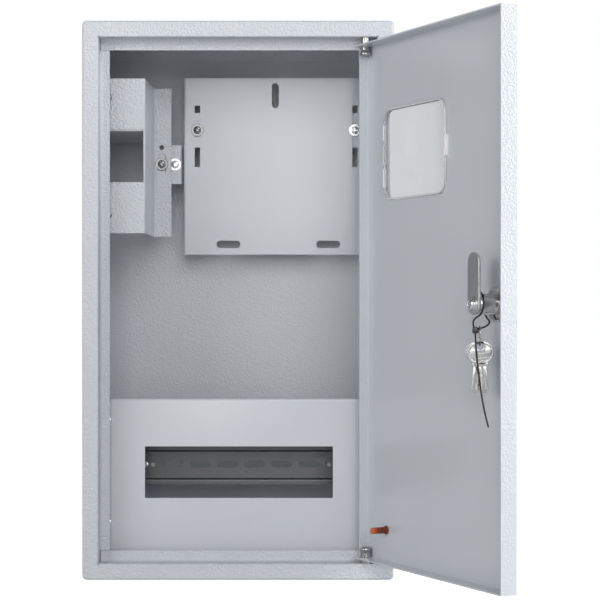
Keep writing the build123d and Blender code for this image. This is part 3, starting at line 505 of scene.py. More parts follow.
def mesh_from(bm, name, matrix=None, smooth_angle=SMOOTH_ANGLE):
    """Turns a bmesh into a mesh with clean normals and smooth shading up to an angle."""
    bmesh.ops.remove_doubles(bm, verts=bm.verts, dist=1e-7)
    bmesh.ops.recalc_face_normals(bm, faces=bm.faces)
    if matrix is not None:
        bmesh.ops.transform(bm, matrix=matrix, verts=bm.verts)
    mesh = bpy.data.meshes.new(name)
    bm.to_mesh(mesh)
    bm.free()
    mesh.shade_smooth()
    mesh.set_sharp_from_angle(angle=math.radians(smooth_angle))
    return mesh


def ring_of(bm, radius, height, segments):
    """Ring of vertices round the axis, or one vertex where the radius is nothing."""
    if radius < 1e-9:
        return [bm.verts.new((0, 0, height))]
    turns = (2 * math.pi * i / segments for i in range(segments))
    return [bm.verts.new((radius * math.cos(a), radius * math.sin(a), height)) for a in turns]


def bridge(bm, rings, count, is_loop=False):
    """Faces between each ring and the next; a ring of one vertex is a pole."""
    for a, b in zip(rings, rings[1:] + rings[:1] if is_loop else rings[1:]):
        for i in range(count):
            j = (i + 1) % count
            corners = list(dict.fromkeys([a[i % len(a)], a[j % len(a)], b[j % len(b)], b[i % len(b)]]))
            if len(corners) > 2:
                bm.faces.new(corners)


def add_lathe(bm, profile, segments, matrix=None):
    """Adds a closed turned shape from radii and heights, either from axis to axis or as a loop."""
    rings = [ring_of(bm, radius, height, segments) for radius, height in profile]
    bridge(bm, rings, segments, is_loop=len(rings[0]) > 1 and len(rings[-1]) > 1)
    if matrix is not None:
        bmesh.ops.transform(bm, matrix=matrix, verts=[v for ring in rings for v in ring])


def in_mm(profile):
    """A profile that is given in millimetres, in metres."""
    return [(radius * MM, height * MM) for radius, height in profile]


def rounded_rectangle(width, height, radius, steps=10):
    """Outline of a round-cornered rectangle, counter-clockwise."""
    points = []
    for quarter, (sx, sy) in enumerate(((1, 1), (-1, 1), (-1, -1), (1, -1))):
        cx, cy = sx * (width / 2 - radius), sy * (height / 2 - radius)
        for i in range(steps + 1):
            a = math.pi / 2 * (quarter + i / steps)
            points.append((cx + radius * math.cos(a), cy + radius * math.sin(a)))
    return points


def add_shell(bm, outlines):
    """Adds a closed body through outlines of equal counts, each with its height; returns its vertices."""
    rings = [[bm.verts.new((x, y, z)) for x, y in outline] for outline, z in outlines]
    bridge(bm, rings, len(rings[0]))
    bm.faces.new(list(reversed(rings[0])))
    bm.faces.new(rings[-1])
    return [v for ring in rings for v in ring]


def added(name, data):
    """An object with that data, linked to the scene."""
    thing = bpy.data.objects.new(name, data)
    bpy.context.scene.collection.objects.link(thing)
    return thing


def baked(holder):
    """Plain mesh of an object as it is evaluated; the object is removed."""
    bpy.context.view_layer.update()
    depsgraph = bpy.context.evaluated_depsgraph_get()
    mesh = bpy.data.meshes.new_from_object(holder.evaluated_get(depsgraph), depsgraph=depsgraph)
    bpy.data.objects.remove(holder)
    return mesh


def plate_from_outlines(name, outlines, thickness, edge, matrix):
    """Flat plate with rounded edges and holes: the outer outline first, then the holes."""
    curve = bpy.data.curves.new(name, "CURVE")
    curve.dimensions = "2D"
    curve.fill_mode = "BOTH"
    curve.extrude = thickness / 2 - edge
    curve.bevel_depth = edge
    curve.bevel_resolution = 2
    curve.offset = -edge
    for outline in outlines:
        spline = curve.splines.new("POLY")
        spline.points.add(len(outline) - 1)
        for point, (x, y) in zip(spline.points, outline):
            point.co = (x, y, 0, 1)
        spline.use_cyclic_u = True
    mesh = baked(added(name + "_outline", curve))
    bpy.data.curves.remove(curve)
    bm = bmesh.new()
    bm.from_mesh(mesh)
    bpy.data.meshes.remove(mesh)
    return mesh_from(bm, name, matrix)


def circle_outline(radius, segments=32):
    """Outline of a circle."""
    turns = (2 * math.pi * i / segments for i in range(segments))
    return [(radius * math.cos(a), radius * math.sin(a)) for a in turns]


def joined(name, meshes):
    """One mesh from several."""
    bm = bmesh.new()
    for mesh in meshes:
        bm.from_mesh(mesh)
        bpy.data.meshes.remove(mesh)
    result = bpy.data.meshes.new(name)
    bm.to_mesh(result)
    bm.free()
    result.shade_smooth()
    result.set_sharp_from_angle(angle=math.radians(SMOOTH_ANGLE))
    return result


def place_piece(name, mesh, body, material, slot, *nodes):
    """Makes a piece of the object, in the place of CAD nodes."""
    piece = added(name, mesh)
    mesh.materials.clear()
    mesh.materials.append(bpy.data.materials[material])
    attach(piece, body)
    if nodes:
        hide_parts(*nodes)


def finish_node(node, material):
    """Gives a CAD node its material."""
    mesh = frame["nodes"][node].data
    mesh.materials.clear()
    mesh.materials.append(bpy.data.materials[material])


# Geometry Nodes

def growth_tree(name, **entries):
    """A geometry node tree with those named inputs; returns it with its input and output nodes."""
    tree = bpy.data.node_groups.new(name, "GeometryNodeTree")
    for label, kind in {"Geometry": "Geometry", **entries}.items():
        tree.interface.new_socket(
            label.replace("_", " "), in_out="INPUT", socket_type="NodeSocket" + kind)
    tree.interface.new_socket("Geometry", in_out="OUTPUT", socket_type="NodeSocketGeometry")
    return tree, new_node(tree, "NodeGroupInput"), new_node(tree, "NodeGroupOutput")


def scatter_tree():
    """Node tree that sets one fastener on every point, each turned by its own angle."""
    tree, entry, result = growth_tree(
        "set_fasteners", Fastener="Object", Turn_Seed="Int", Largest_Turn="Float", Finish="Material")
    info = new_node(tree, "GeometryNodeObjectInfo", transform_space="ORIGINAL")
    turn = new_node(tree, "FunctionNodeRandomValue", data_type="FLOAT")
    angles = new_node(tree, "ShaderNodeCombineXYZ")
    setter = new_node(tree, "GeometryNodeInstanceOnPoints")
    realize = new_node(tree, "GeometryNodeRealizeInstances")
    finish = new_node(tree, "GeometryNodeSetMaterial")
    largest = [s for s in turn.inputs if s.name == "Max" and s.type == "VALUE"][0]
    tree.links.new(entry.outputs["Largest Turn"], largest)
    tree.links.new([s for s in turn.outputs if s.type == "VALUE"][0], angles.inputs["Y"])
    wire(
        tree, (entry, "Fastener", info, "Object"), (entry, "Turn Seed", turn, "Seed"),
        (entry, "Geometry", setter, "Points"), (info, "Geometry", setter, "Instance"),
        (angles, "Vector", setter, "Rotation"), (setter, "Instances", realize, "Geometry"),
        (realize, "Geometry", finish, "Geometry"), (entry, "Finish", finish, "Material"),
        (finish, "Geometry", result, "Geometry"))
    return tree


def strap_tree():
    """Node tree that makes a round strap with ribs along a line."""
    tree, entry, result = growth_tree("ribbed_strap", Radius="Float", Rib_Spacing="Float", Finish="Material")
    curve = new_node(tree, "GeometryNodeMeshToCurve")
    circle = new_node(tree, "GeometryNodeCurvePrimitiveCircle", {"Resolution": 12})
    strap = new_node(tree, "GeometryNodeCurveToMesh", {"Fill Caps": True})
    inner = new_node(tree, "ShaderNodeMath", {1: 0.86}, operation="MULTIPLY")
    points = new_node(tree, "GeometryNodeCurveToPoints", mode="LENGTH")
    rib = new_node(tree, "GeometryNodeMeshCylinder", {"Vertices": 12})
    half = new_node(tree, "ShaderNodeMath", {1: 0.5}, operation="MULTIPLY")
    setter = new_node(tree, "GeometryNodeInstanceOnPoints")
    join = new_node(tree, "GeometryNodeJoinGeometry")
    realize = new_node(tree, "GeometryNodeRealizeInstances")
    smooth = new_node(tree, "GeometryNodeSetShadeSmooth")
    finish = new_node(tree, "GeometryNodeSetMaterial")
    wire(
        tree, (entry, "Geometry", curve, "Mesh"), (entry, "Radius", inner, 0),
        (inner, "Value", circle, "Radius"), (curve, "Curve", strap, "Curve"),
        (circle, "Curve", strap, "Profile Curve"), (curve, "Curve", points, "Curve"),
        (entry, "Rib Spacing", points, "Length"), (entry, "Rib Spacing", half, 0),
        (entry, "Radius", rib, "Radius"), (half, "Value", rib, "Depth"),
        (points, "Points", setter, "Points"), (rib, "Mesh", setter, "Instance"),
        (points, "Rotation", setter, "Rotation"), (strap, "Mesh", smooth, "Geometry"),
        (setter, "Instances", join, "Geometry"), (smooth, "Geometry", join, "Geometry"),
        (join, "Geometry", realize, "Geometry"), (realize, "Geometry", finish, "Geometry"),
        (entry, "Finish", finish, "Material"), (finish, "Geometry", result, "Geometry"))
    return tree


def grown(name, host, tree, values):
    """Runs a node tree on a mesh and returns the result as a plain mesh."""
    holder = added(name + "_host", host)
    modifier = holder.modifiers.new("grow", "NODES")
    modifier.node_group = tree
    sockets = {s.name: s.identifier for s in tree.interface.items_tree if s.in_out == "INPUT"}
    for label, value in values.items():
        modifier[sockets[label]] = value
    mesh = baked(holder)
    mesh.name = name
    bpy.data.meshes.remove(host)
    return mesh


def points_mesh(places, dull):
    """Mesh of loose points, each with its amount of painted shade as an attribute."""
    mesh = bpy.data.meshes.new("places")
    mesh.from_pydata([tuple(p) for p in places], [], [])
    mesh.attributes.new("dull", "FLOAT", "POINT").data.foreach_set("value", dull)
    return mesh


# Pieces

def cross_depth(x, y, reach):
    """How deep a cross recess is at a point of the head, from 0 to 1."""
    wing = reach * 0.15
    depth = 0.0
    for along, across in ((abs(x), abs(y)), (abs(y), abs(x))):
        side = max(0.0, min(1.0, (wing - across) / (wing * 0.3) + 0.5))
        end = max(0.0, min(1.0, (reach / 2 - along) / (reach * 0.16)))
        depth = max(depth, side * end)
    return depth


def pan_head_mesh(name, head, height, shank, length, recess, matrix):
    """Pan-head screw with a cross recess and a threaded shank, its seat at the origin."""
    steps, segments = 22, 64
    bm = bmesh.new()
    radius, rim = head / 2, height * 0.5
    rings = []
    for i in range(steps + 1):
        share = i / steps
        dome = rim + (height - rim) * max(0.0, 1 - share ** 3.4) ** 0.5
        ring = ring_of(bm, radius * share, dome, segments)
        for vertex in ring:
            vertex.co.z -= height * 0.85 * cross_depth(vertex.co.x, vertex.co.y, recess)
        rings.append(ring)
    pitch = shank * 0.18
    profile = [(radius, 0.0), (shank / 2, 0.0)]
    for i in range(int(length / pitch)):
        z = -pitch * (i + 0.5)
        profile += [(shank * 0.42, z - pitch * 0.05), (shank / 2, z - pitch * 0.5)]
    profile += [(shank * 0.3, -length), (0.0, -length)]
    rings += [ring_of(bm, r, z, segments) for r, z in profile]
    bridge(bm, rings, segments)
    return mesh_from(bm, name, matrix)


def washer_mesh(name, outer, bore, thickness, matrix):
    """Flat washer with rounded edges, its back at the origin."""
    edge = thickness * 0.25
    a, b = outer / 2, bore / 2
    profile = [
        (b, edge), (b, thickness - edge), (b + edge, thickness), (a - edge, thickness),
        (a, thickness - edge), (a, edge), (a - edge, 0), (b + edge, 0),
    ]
    bm = bmesh.new()
    add_lathe(bm, profile, 64)
    return mesh_from(bm, name, matrix)


class ENCLOSURE_OT_finish_sheet_metal(bpy.types.Operator):
    """Powder coat on the case, the door and the inner sheet-metal pieces"""
    bl_idname = "enclosure.finish_sheet_metal"
    bl_label = "Finish Sheet Metal"

    def execute(self, context):
        paint = settings().paint
        powder_coat("hammered_coat", paint.peel_depth, paint.roughness)
        powder_coat("smooth_coat", paint.smooth_depth, paint.smooth_roughness)
        powder_coat("wall_coat", paint.wall_depth, paint.roughness)
        cover_relief, door_relief = paint.peel_depth * 1.3, paint.peel_depth * 0.4
        powder_coat("cover_coat", cover_relief, paint.smooth_roughness, Vector((1, 0, 0)), paint.smooth_depth)
        powder_coat("door_coat", door_relief, paint.roughness, DOOR_IN, paint.smooth_depth)
        bracket = powder_coat("bracket_coat", paint.peel_depth, paint.roughness)
        # Painted shade: a dark spot on the standoff behind the cover's seal hole stands in for the hole's shade.
        low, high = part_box("seal_screw")
        seal_hole = (low + high) / 2 + UP * 15.5 * MM
        paint_hole_shade(bracket, seal_hole, radius=3.4 * MM, shade=0.07)
        galvanized_steel()
        for node in COATED:
            finish_node(node, "smooth_coat" if node in SMOOTH else "hammered_coat")
        finish_node("door_leaf", "door_coat")
        finish_node("back_panel", "wall_coat")
        finish_node("breaker_cover", "cover_coat")
        finish_node("cover_standoff", "bracket_coat")
        finish_node("din_rail", "spangled_zinc")
        return {"FINISHED"}


class ENCLOSURE_OT_make_fasteners(bpy.types.Operator):
    """Cross-head screws and washers of the case"""
    bl_idname = "enclosure.make_fasteners"
    bl_label = "Make Fasteners"

    def scatter(self, tree, name, mesh, places, largest_turn, nodes):
        """Sets copies of a mesh on the places of those CAD nodes, as one piece."""
        fastener = added(mesh.name, mesh)
        # Painted shade: the fasteners that sit in shadow are drawn darker.
        dull = [1.0 if node in SHADED_FASTENERS else 0.0 for node in nodes]
        piece = grown(name, points_mesh(places, dull), tree, {
            "Fastener": fastener, "Turn Seed": settings().screw.turn_seed, "Largest Turn": largest_turn,
            "Finish": bpy.data.materials["zinc_plate"]})
        bpy.data.objects.remove(fastener)
        bpy.data.meshes.remove(mesh)
        place_piece(name, piece, "case", "zinc_plate", "zinc_fastener", *nodes)

    def execute(self, context):
        values = settings().screw
        # Painted shade: fasteners in shadow get 0.3 of the zinc colour.
        plated("zinc_plate", settings().metal.zinc, 0.22, dull=0.3)
        forward = facing(Vector((0, 0, 0)), FRONT)
        tree = scatter_tree()
        seats, lengths = [], []
        for node in CASE_SCREWS:
            low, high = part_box(node)
            middle = (low + high) / 2
            seats.append(Vector((middle.x, low.y + values.head_height, middle.z)))
            lengths.append(high.y - low.y - values.head_height)
        screw = pan_head_mesh(
            "screw", values.head, values.head_height, values.shank, min(lengths), values.recess, forward)
        self.scatter(tree, "case_screws", screw, seats, math.pi / 2, CASE_SCREWS)
        places = []
        for node in CASE_WASHERS:
            low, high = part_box(node)
            places.append(Vector(((low.x + high.x) / 2, high.y, (low.z + high.z) / 2)))
        washer = washer_mesh("washer", values.washer, values.shank * 1.1, values.washer_height, forward)
        self.scatter(tree, "case_washers", washer, places, 0.0, CASE_WASHERS)
        return {"FINISHED"}


class ENCLOSURE_OT_plug_wall_fixings(bpy.types.Operator):
    """Painted push-in plugs in the four wall-fixing holes"""
    bl_idname = "enclosure.plug_wall_fixings"
    bl_label = "Plug Wall Fixings"

    def execute(self, context):
        # Radius and height in millimetres
        profile = [
            (0.0, 0.2), (2.7, 0.2), (2.7, 1.9), (2.2, 1.8), (2.1, 2.6), (1.7, 2.9), (0.6, 3.0),
            (0.45, 2.7), (0.4, 1.8), (0.0, 1.7)]
        bm = bmesh.new()
        pattern = [mount for mount in frame["record"]["mounts"] if mount["name"] == "wall_fixings"][0]
        middle = Vector(pattern["pos_m"])
        width, height = pattern["dims"]["spacing_x_mm"] * MM / 2, pattern["dims"]["spacing_y_mm"] * MM / 2
        for x in (-width, width):
            for z in (-height, height):
                add_lathe(bm, in_mm(profile), 32, facing(middle + Vector((x, 0, z)), FRONT))
        place_piece("fixing_plugs", mesh_from(bm, "fixing_plugs"), "case", "hammered_coat", "powder_coat")
        return {"FINISHED"}


class ENCLOSURE_OT_make_hinge_pins(bpy.types.Operator):
    """Turned hinge pins with their dimpled heads, and the earth stud's finish"""
    bl_idname = "enclosure.make_hinge_pins"
    bl_label = "Make Hinge Pins"

    def execute(self, context):
        plated("turned_steel", DARK_STEEL, 0.2)
        # Radius and height in millimetres; the upper head is measured from its own lower end
        head_height = 214.7
        head = [
            (0.0, 1.1), (2.3, 1.1), (2.6, 0.5), (3.2, 0.1), (3.9, 0.0), (4.5, 0.25), (4.85, 0.8),
            (5.0, 1.5), (4.95, 2.3), (4.6, 3.3), (4.1, 4.1), (3.8, 4.6), (3.75, 5.2)]
        top = [(r, z + head_height) for r, z in head]
        top += [(3.75, 230.4), (3.15, 230.5), (3.15, 236.3), (2.9, 236.7), (2.5, 237.0), (0.0, 237.0)]
        bottom = [
            (0.0, -237.0), (2.5, -237.0), (2.9, -236.7), (3.15, -236.3), (3.15, -230.8), (5.0, -230.8),
            (5.0, -226.8), (3.75, -226.75), (3.75, -225.65), (4.6, -225.6), (5.0, -225.2), (5.0, -221.3),
            (4.7, -221.0), (4.3, -220.6), (4.6, -220.0), (4.8, -219.2), (4.8, -218.4), (4.5, -217.5),
            (3.9, -217.0), (3.2, -216.9), (2.6, -217.2), (2.2, -217.9), (0.0, -218.0)]
        for name, profile, node in (
                ("pin_top", top, "hinge_pin_top"), ("pin_bottom", bottom, "hinge_pin_bottom")):
            bm = bmesh.new()
            add_lathe(bm, in_mm(profile), 64, Matrix.Translation(HINGE))
            place_piece(name, mesh_from(bm, name), "door", "turned_steel", "pin_steel", node)
        finish_node("earth_stud", "turned_steel")
        return {"FINISHED"}


class ENCLOSURE_OT_make_window(bpy.types.Operator):
    """Clear window of the door: bezel outside, plug through the skin, two clips inside"""
    bl_idname = "enclosure.make_window"
    bl_label = "Make Window"

    def execute(self, context):
        door = settings().door
        clear_plastic()
        w, h, r = door.window_width, door.window_height, door.window_corner
        thick, overlap, rim = 1.5 * MM, 4.0 * MM, 2.0 * MM
        edge = 0.35 * MM
        inner = door.skin + rim

        def outline(grow, z):
            return rounded_rectangle(w + 2 * grow, h + 2 * grow, r + grow), z

        bm = bmesh.new()
        add_shell(bm, [
            outline(overlap - 2 * edge, -thick), outline(overlap - 0.6 * edge, -thick + 0.4 * edge),
            outline(overlap, -thick + 1.5 * edge), outline(overlap, 0), outline(-0.1 * MM, 0),
            outline(-0.1 * MM, inner - edge), outline(-0.1 * MM - edge, inner),
            outline(-thick + edge, inner), outline(-thick, inner - edge), outline(-thick, 0.1 * MM)])
        matrix = on_door(door.window_from_hinge + w / 2, door.window_centre)
        plug = mesh_from(bm, "plug", matrix)
        half, clip = w / 2, 17.4 * MM
        bm = bmesh.new()
        # Clips and the raised edges beside them: from and to along x and y, height, how much painted highlight
        # (whiter, less clear plastic standing in for glints on lit edges)
        bars = [
            (-half - 2.3 * MM, -half + 0.6 * MM, -clip / 2, clip / 2, 0.4 * MM, 0.8),
            (half - 1.0 * MM, half + 0.6 * MM, -clip / 2, clip / 2, 0.9 * MM, 1.0),
            (-half - 0.3 * MM, -half + 0.5 * MM, 12.0 * MM, 26.0 * MM, 0.9 * MM, 1.0),
            (-half - 0.3 * MM, -half + 0.5 * MM, -28.0 * MM, -12.0 * MM, 0.9 * MM, 1.0)]
        values = []
        for x0, x1, y0, y1, tall, frosted in bars:
            middle_x, middle_y, top = (x0 + x1) / 2, (y0 + y1) / 2, inner + tall
            levels = ((0.0, door.skin), (0.0, top - 0.25 * MM), (0.03 * MM, top - 0.1 * MM), (0.2 * MM, top))
            made = add_shell(bm, [
                ([(middle_x + x, middle_y + y) for x, y in
                  rounded_rectangle(x1 - x0 - 2 * trim, y1 - y0 - 2 * trim, 0.3 * MM, 3)], z)
                for trim, z in levels])
            values += [frosted] * len(made)
        clips = bpy.data.meshes.new("clips")
        bmesh.ops.recalc_face_normals(bm, faces=bm.faces)
        bmesh.ops.transform(bm, matrix=matrix, verts=bm.verts)
        bm.to_mesh(clips)
        bm.free()
        # Painted highlight: the plug's part inside the skin is made a little whiter and less clear.
        to_door, inside, rim_glint = matrix.inverted(), 0.3 * MM, 0.35
        ring = [rim_glint if (to_door @ vertex.co).z > inside else 0.0 for vertex in plug.vertices]
        for mesh, data in ((plug, ring), (clips, values)):
            mesh.attributes.new("frosted", "FLOAT", "POINT").data.foreach_set("value", data)
        mesh = joined("window", [plug, clips])
        place_piece("window", mesh, "door", "clear_window_plastic", "clear_plastic", "window_pane")
        return {"FINISHED"}


class ENCLOSURE_OT_make_stud_cap(bpy.types.Operator):
    """Soft cap on the earth stud"""
    bl_idname = "enclosure.make_stud_cap"
    bl_label = "Make Stud Cap"

    def execute(self, context):
        door = settings().door
        cap_plastic()
        # Radius and height in millimetres
        length, radius, bore, hollow, tip, steps = 15.5, 2.85, 2.0, 13.1, 1.2, 6
        profile = [(bore, 0.0), (3.5, 0.0), (3.8, 0.3), (3.8, 1.3), (3.5, 1.6), (3.15, 1.7), (radius, 2.1)]
        profile += [(radius - 0.05 * (i % 2), 2.1 + i * 2.6) for i in range(1, 5)]
        turns = (math.pi / 2 * i / steps for i in range(steps + 1))
        profile += [(radius - tip + tip * math.cos(a), length - tip + tip * math.sin(a)) for a in turns]
        profile += [(0.0, length), (0.0, hollow), (bore, hollow)]
        bm = bmesh.new()
        add_lathe(bm, in_mm(profile), 32)
        mesh = mesh_from(bm, "stud_cap_skin")
        tip_start, tip_fade = 0.62, 0.3
        attribute = mesh.attributes.new("tip", "FLOAT", "POINT")
        for vertex, value in zip(mesh.vertices, attribute.data):
            share = vertex.co.z / (length * MM)
            value.value = max(0.0, min(1.0, (share - tip_start) / tip_fade))
        mesh.transform(on_door(door.stud_from_hinge, door.stud_height, door.skin))
        place_piece("stud_cap_skin", mesh, "door", "soft_cap_plastic", "cap_plastic", "stud_cap")
        return {"FINISHED"}


class ENCLOSURE_OT_make_lock(bpy.types.Operator):
    """Lock body with its threaded barrel, the nut, and the turning plug with its cam"""
    bl_idname = "enclosure.make_lock"
    bl_label = "Make Lock"

    def barrel(self, lock, matrix):
        """Barrel with its thread on two sides, smooth and round between them, and the lock's outer head."""
        segments, steps = 72, 10
        rows = int(lock.barrel_length / lock.thread_pitch * steps)
        radius, depth = lock.barrel / 2, lock.thread_pitch * 0.55
        bore, taper_length = 5.05 * MM, 0.8 * MM
        bm = bmesh.new()
        grid = []
        for row in range(rows + 1):
            z = lock.barrel_length * row / rows
            ring = []
            for i in range(segments):
                a = 2 * math.pi * i / segments
                turn = (z / lock.thread_pitch - i / segments) % 1.0
                cut = max(0.0, min(1.0, (abs(math.sin(a)) - 0.72) / 0.06))
                r = radius - depth * (cut * abs(2 * turn - 1) + 1 - cut)
                r -= max(0.0, (z - lock.barrel_length + taper_length) / taper_length) * depth * 0.7
                ring.append(bm.verts.new((r * math.cos(a), r * math.sin(a), z)))
            grid.append(ring)
        grid += [ring_of(bm, bore, z, segments) for z in (lock.barrel_length, 0.0)]
        bridge(bm, grid, segments, is_loop=True)
        barrel = mesh_from(bm, "barrel", matrix, 50)
        bm = bmesh.new()
        a, h = lock.head / 2, lock.head_height
        add_lathe(bm, [
            (bore, 0.0), (a, 0.0), (a, -0.5 * h), (a - 0.12 * h, -0.72 * h), (a - 0.4 * h, -0.9 * h),
            (a - 0.8 * h, -h), (bore + 1.2 * MM, -h), (bore, -0.8 * h)], 64)
        head = mesh_from(bm, "head", matrix)
        return joined("lock_barrel", [barrel, head])

    def nut(self, lock, matrix):
        """Hexagonal nut, its free face chamfered."""
        bm = bmesh.new()
        segments, thread = 72, 7.8 * MM
        flats = lock.nut_flats / 2
        corner = flats / math.cos(math.pi / 6)
        levels = []
        for height, shrink in ((0.0, 0.0), (0.5, 0.0), (0.72, 0.0), (1.0, 1.0)):
            ring = []
            for i in range(segments):
                a = 2 * math.pi * i / segments
                phase = a % (math.pi / 3) - math.pi / 6
                r = min(flats / math.cos(phase), corner - shrink * (corner - flats * 0.97))
                ring.append(bm.verts.new((r * math.cos(a), r * math.sin(a), lock.nut_height * height)))
            levels.append(ring)
        levels += [ring_of(bm, thread, z, segments) for z in (lock.nut_height, 0.0)]
        bridge(bm, levels, segments, is_loop=True)
        return mesh_from(bm, "lock_nut_hex", matrix, 25)

    def execute(self, context):
        door, lock = settings().door, settings().lock
        plated("nickel_plate", settings().metal.nickel, 0.16)
        # Painted shade: the cam's flat faces take 0.8 of its colour, so its rounded edges look lit beside them.
        plated("cam_zinc", (0.85, 0.86, 0.87), 0.36, grain=0.0009, dull=0.8)
        mesh = self.barrel(lock, at_lock())
        place_piece("lock_barrel", mesh, "door", "nickel_plate", "lock_alloy", "lock_body")
        mesh = self.nut(lock, at_lock(door.skin))
        place_piece("lock_nut_hex", mesh, "door", "nickel_plate", "lock_alloy", "lock_nut")
        finish_node("lock_plug", "nickel_plate")
        half, steps = lock.cam_width / 2, 24
        outline = []
        for centre, start in ((lock.cam_reach - half, 0.0), (0.0, math.pi)):
            turns = [start + math.pi * i / steps for i in range(steps + 1)]
            outline += [(half * math.cos(a), centre + half * math.sin(a)) for a in turns]
        square = rounded_rectangle(7.0 * MM, 7.0 * MM, 0.4 * MM, 3)
        middle = at_lock(lock.cam_back + lock.cam_thickness / 2)
        mesh = plate_from_outlines("cam_plate", [outline, square], lock.cam_thickness, 0.3 * MM, middle)
        # Painted shade: the flat faces are marked to be drawn darker; the rounded edges keep the full colour.
        to_cam, flat = middle.inverted(), lock.cam_thickness / 2 - 0.05 * MM
        faces = mesh.attributes.new("dull", "FLOAT", "POINT")
        for vertex, value in zip(mesh.vertices, faces.data):
            value.value = 1.0 if abs((to_cam @ vertex.co).z) > flat else 0.0
        place_piece("cam_plate", mesh, "lock_cam", "cam_zinc", "zinc_cam", "cam")
        front, washer = lock.cam_back + lock.cam_thickness, 1.0 * MM
        place_piece(
            "cam_washer_ring", washer_mesh("cam_washer_ring", 12.0 * MM, 4.4 * MM, washer, at_lock(front)),
            "lock_cam", "zinc_plate", "zinc_fastener", "cam_washer")
        matrix = at_lock(front + washer) @ Matrix.Rotation(math.radians(24), 4, "Z")
        mesh = pan_head_mesh(
            "cam_screw_head", head=8.2 * MM, height=2.9 * MM, shank=4.0 * MM, length=5.0 * MM,
            recess=5.0 * MM, matrix=matrix)
        place_piece("cam_screw_head", mesh, "lock_cam", "zinc_plate", "zinc_fastener", "cam_screw")
        return {"FINISHED"}


class ENCLOSURE_OT_make_keys(bpy.types.Operator):
    """The link's finish and the two keys: raised rim, boss and ribs on the bow, milled blade"""
    bl_idname = "enclosure.make_keys"
    bl_label = "Make Keys"

    def blade_side(self, cuts, half, low, high, tip):
        """Edge of the blade from its top to its tip, with its cuts."""
        points, depth = [(half, high)], 1.2 * MM
        for z in cuts:
            points += [(half, z + depth), (half - depth, z), (half, z - depth)]
        return points + [(half, low), (0.0, tip)]

    def key(self, name, side, matrix):
        """A key, its origin in the hole of its bow; side says which edge of the blade has the cuts."""
        key = settings().key
        a, b = key.bow_width / 2, key.bow_height / 2
        bow_top = key.hole / 2 + 1.6 * MM
        middle = bow_top - b
        half, shoulder = key.blade_width / 2, bow_top - key.bow_height - 1.5 * MM
        tip = bow_top - key.length
        low = tip + half
        first_cut, cut_spacing = 2.0 * MM, 3.6 * MM
        cuts = [low + first_cut + i * cut_spacing for i in (3, 2, 1, 0)]
        collar = half + 1.5 * MM
        start = -math.acos(collar / a)

        def ellipse(inset, first=0.0, last=2 * math.pi, steps=56):
            turns = [first + (last - first) * i / steps for i in range(steps)]
            return [((a - inset) * math.cos(t), middle + (b - inset) * math.sin(t)) for t in turns]

        def blade(x0, x1):
            return [(max(x0, min(x1, x)), z) for x, z in sides]

        right = self.blade_side(cuts if side > 0 else [], half, low, shoulder, tip)
        left = self.blade_side(cuts if side < 0 else [], half, low, shoulder, tip)
        sides = [(-x, z) for x, z in left] + list(reversed(right))[1:]
        bow = ellipse(0.0, start, math.pi - start) + [(-collar, shoulder)]
        outline = bow + sides + [(collar, shoulder)]
        hole = list(reversed(circle_outline(key.hole / 2)))
        edge, full, core = key.edge, key.thickness, key.thickness * 0.45

        def box(reach, bottom, top):
            return [(-reach, bottom), (reach, bottom), (reach, top), (-reach, top)]

        rib = 0.35 * MM
        bars = [box(a * reach, height - rib, height + rib)
                for height, reach in ((-5.4 * MM, 0.80), (-9.1 * MM, 0.72), (-11.0 * MM, 0.6))]
        boss = rounded_rectangle(8.0 * MM, 8.0 * MM, 2.2 * MM, 5)
        plates = [
            ("_core", [outline, hole], core),
            ("_rim", [ellipse(0.0), list(reversed(ellipse(key.rim)))], full),
            ("_boss", [boss, hole], full),
            ("_collar", [box(collar, shoulder, shoulder + 2.6 * MM)], full)]
        plates += [("_rib", [bar], full * 0.9) for bar in bars]
        plates += [("_blade", [blade(*span)], full) for span in ((-half, -half * 0.24), (half * 0.2, half))]
        return joined(name, [
            plate_from_outlines(name + part, outlines, thickness, edge, matrix)
            for part, outlines, thickness in plates])

    def execute(self, context):
        key = settings().key
        plated("key_nickel", DARK_STEEL, 0.24)
        finish_node("key_link", "key_nickel")
        for node, side in (("key_front", -1), ("key_back", 1)):
            low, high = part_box(node)
            link_low, link_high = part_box("key_link")
            x = (link_low.x + link_high.x) / 2
            z = link_low.z + 1.9 * MM - key.hole / 2
            matrix = facing(Vector((x, (low.y + high.y) / 2, z)), FRONT)
            matrix = matrix @ Matrix.Rotation(-side * key.fan, 4, "Z")
            mesh = self.key(node + "_cut", side, matrix)
            place_piece(node + "_cut", mesh, "keys", "key_nickel", "key_steel", node)
        return {"FINISHED"}


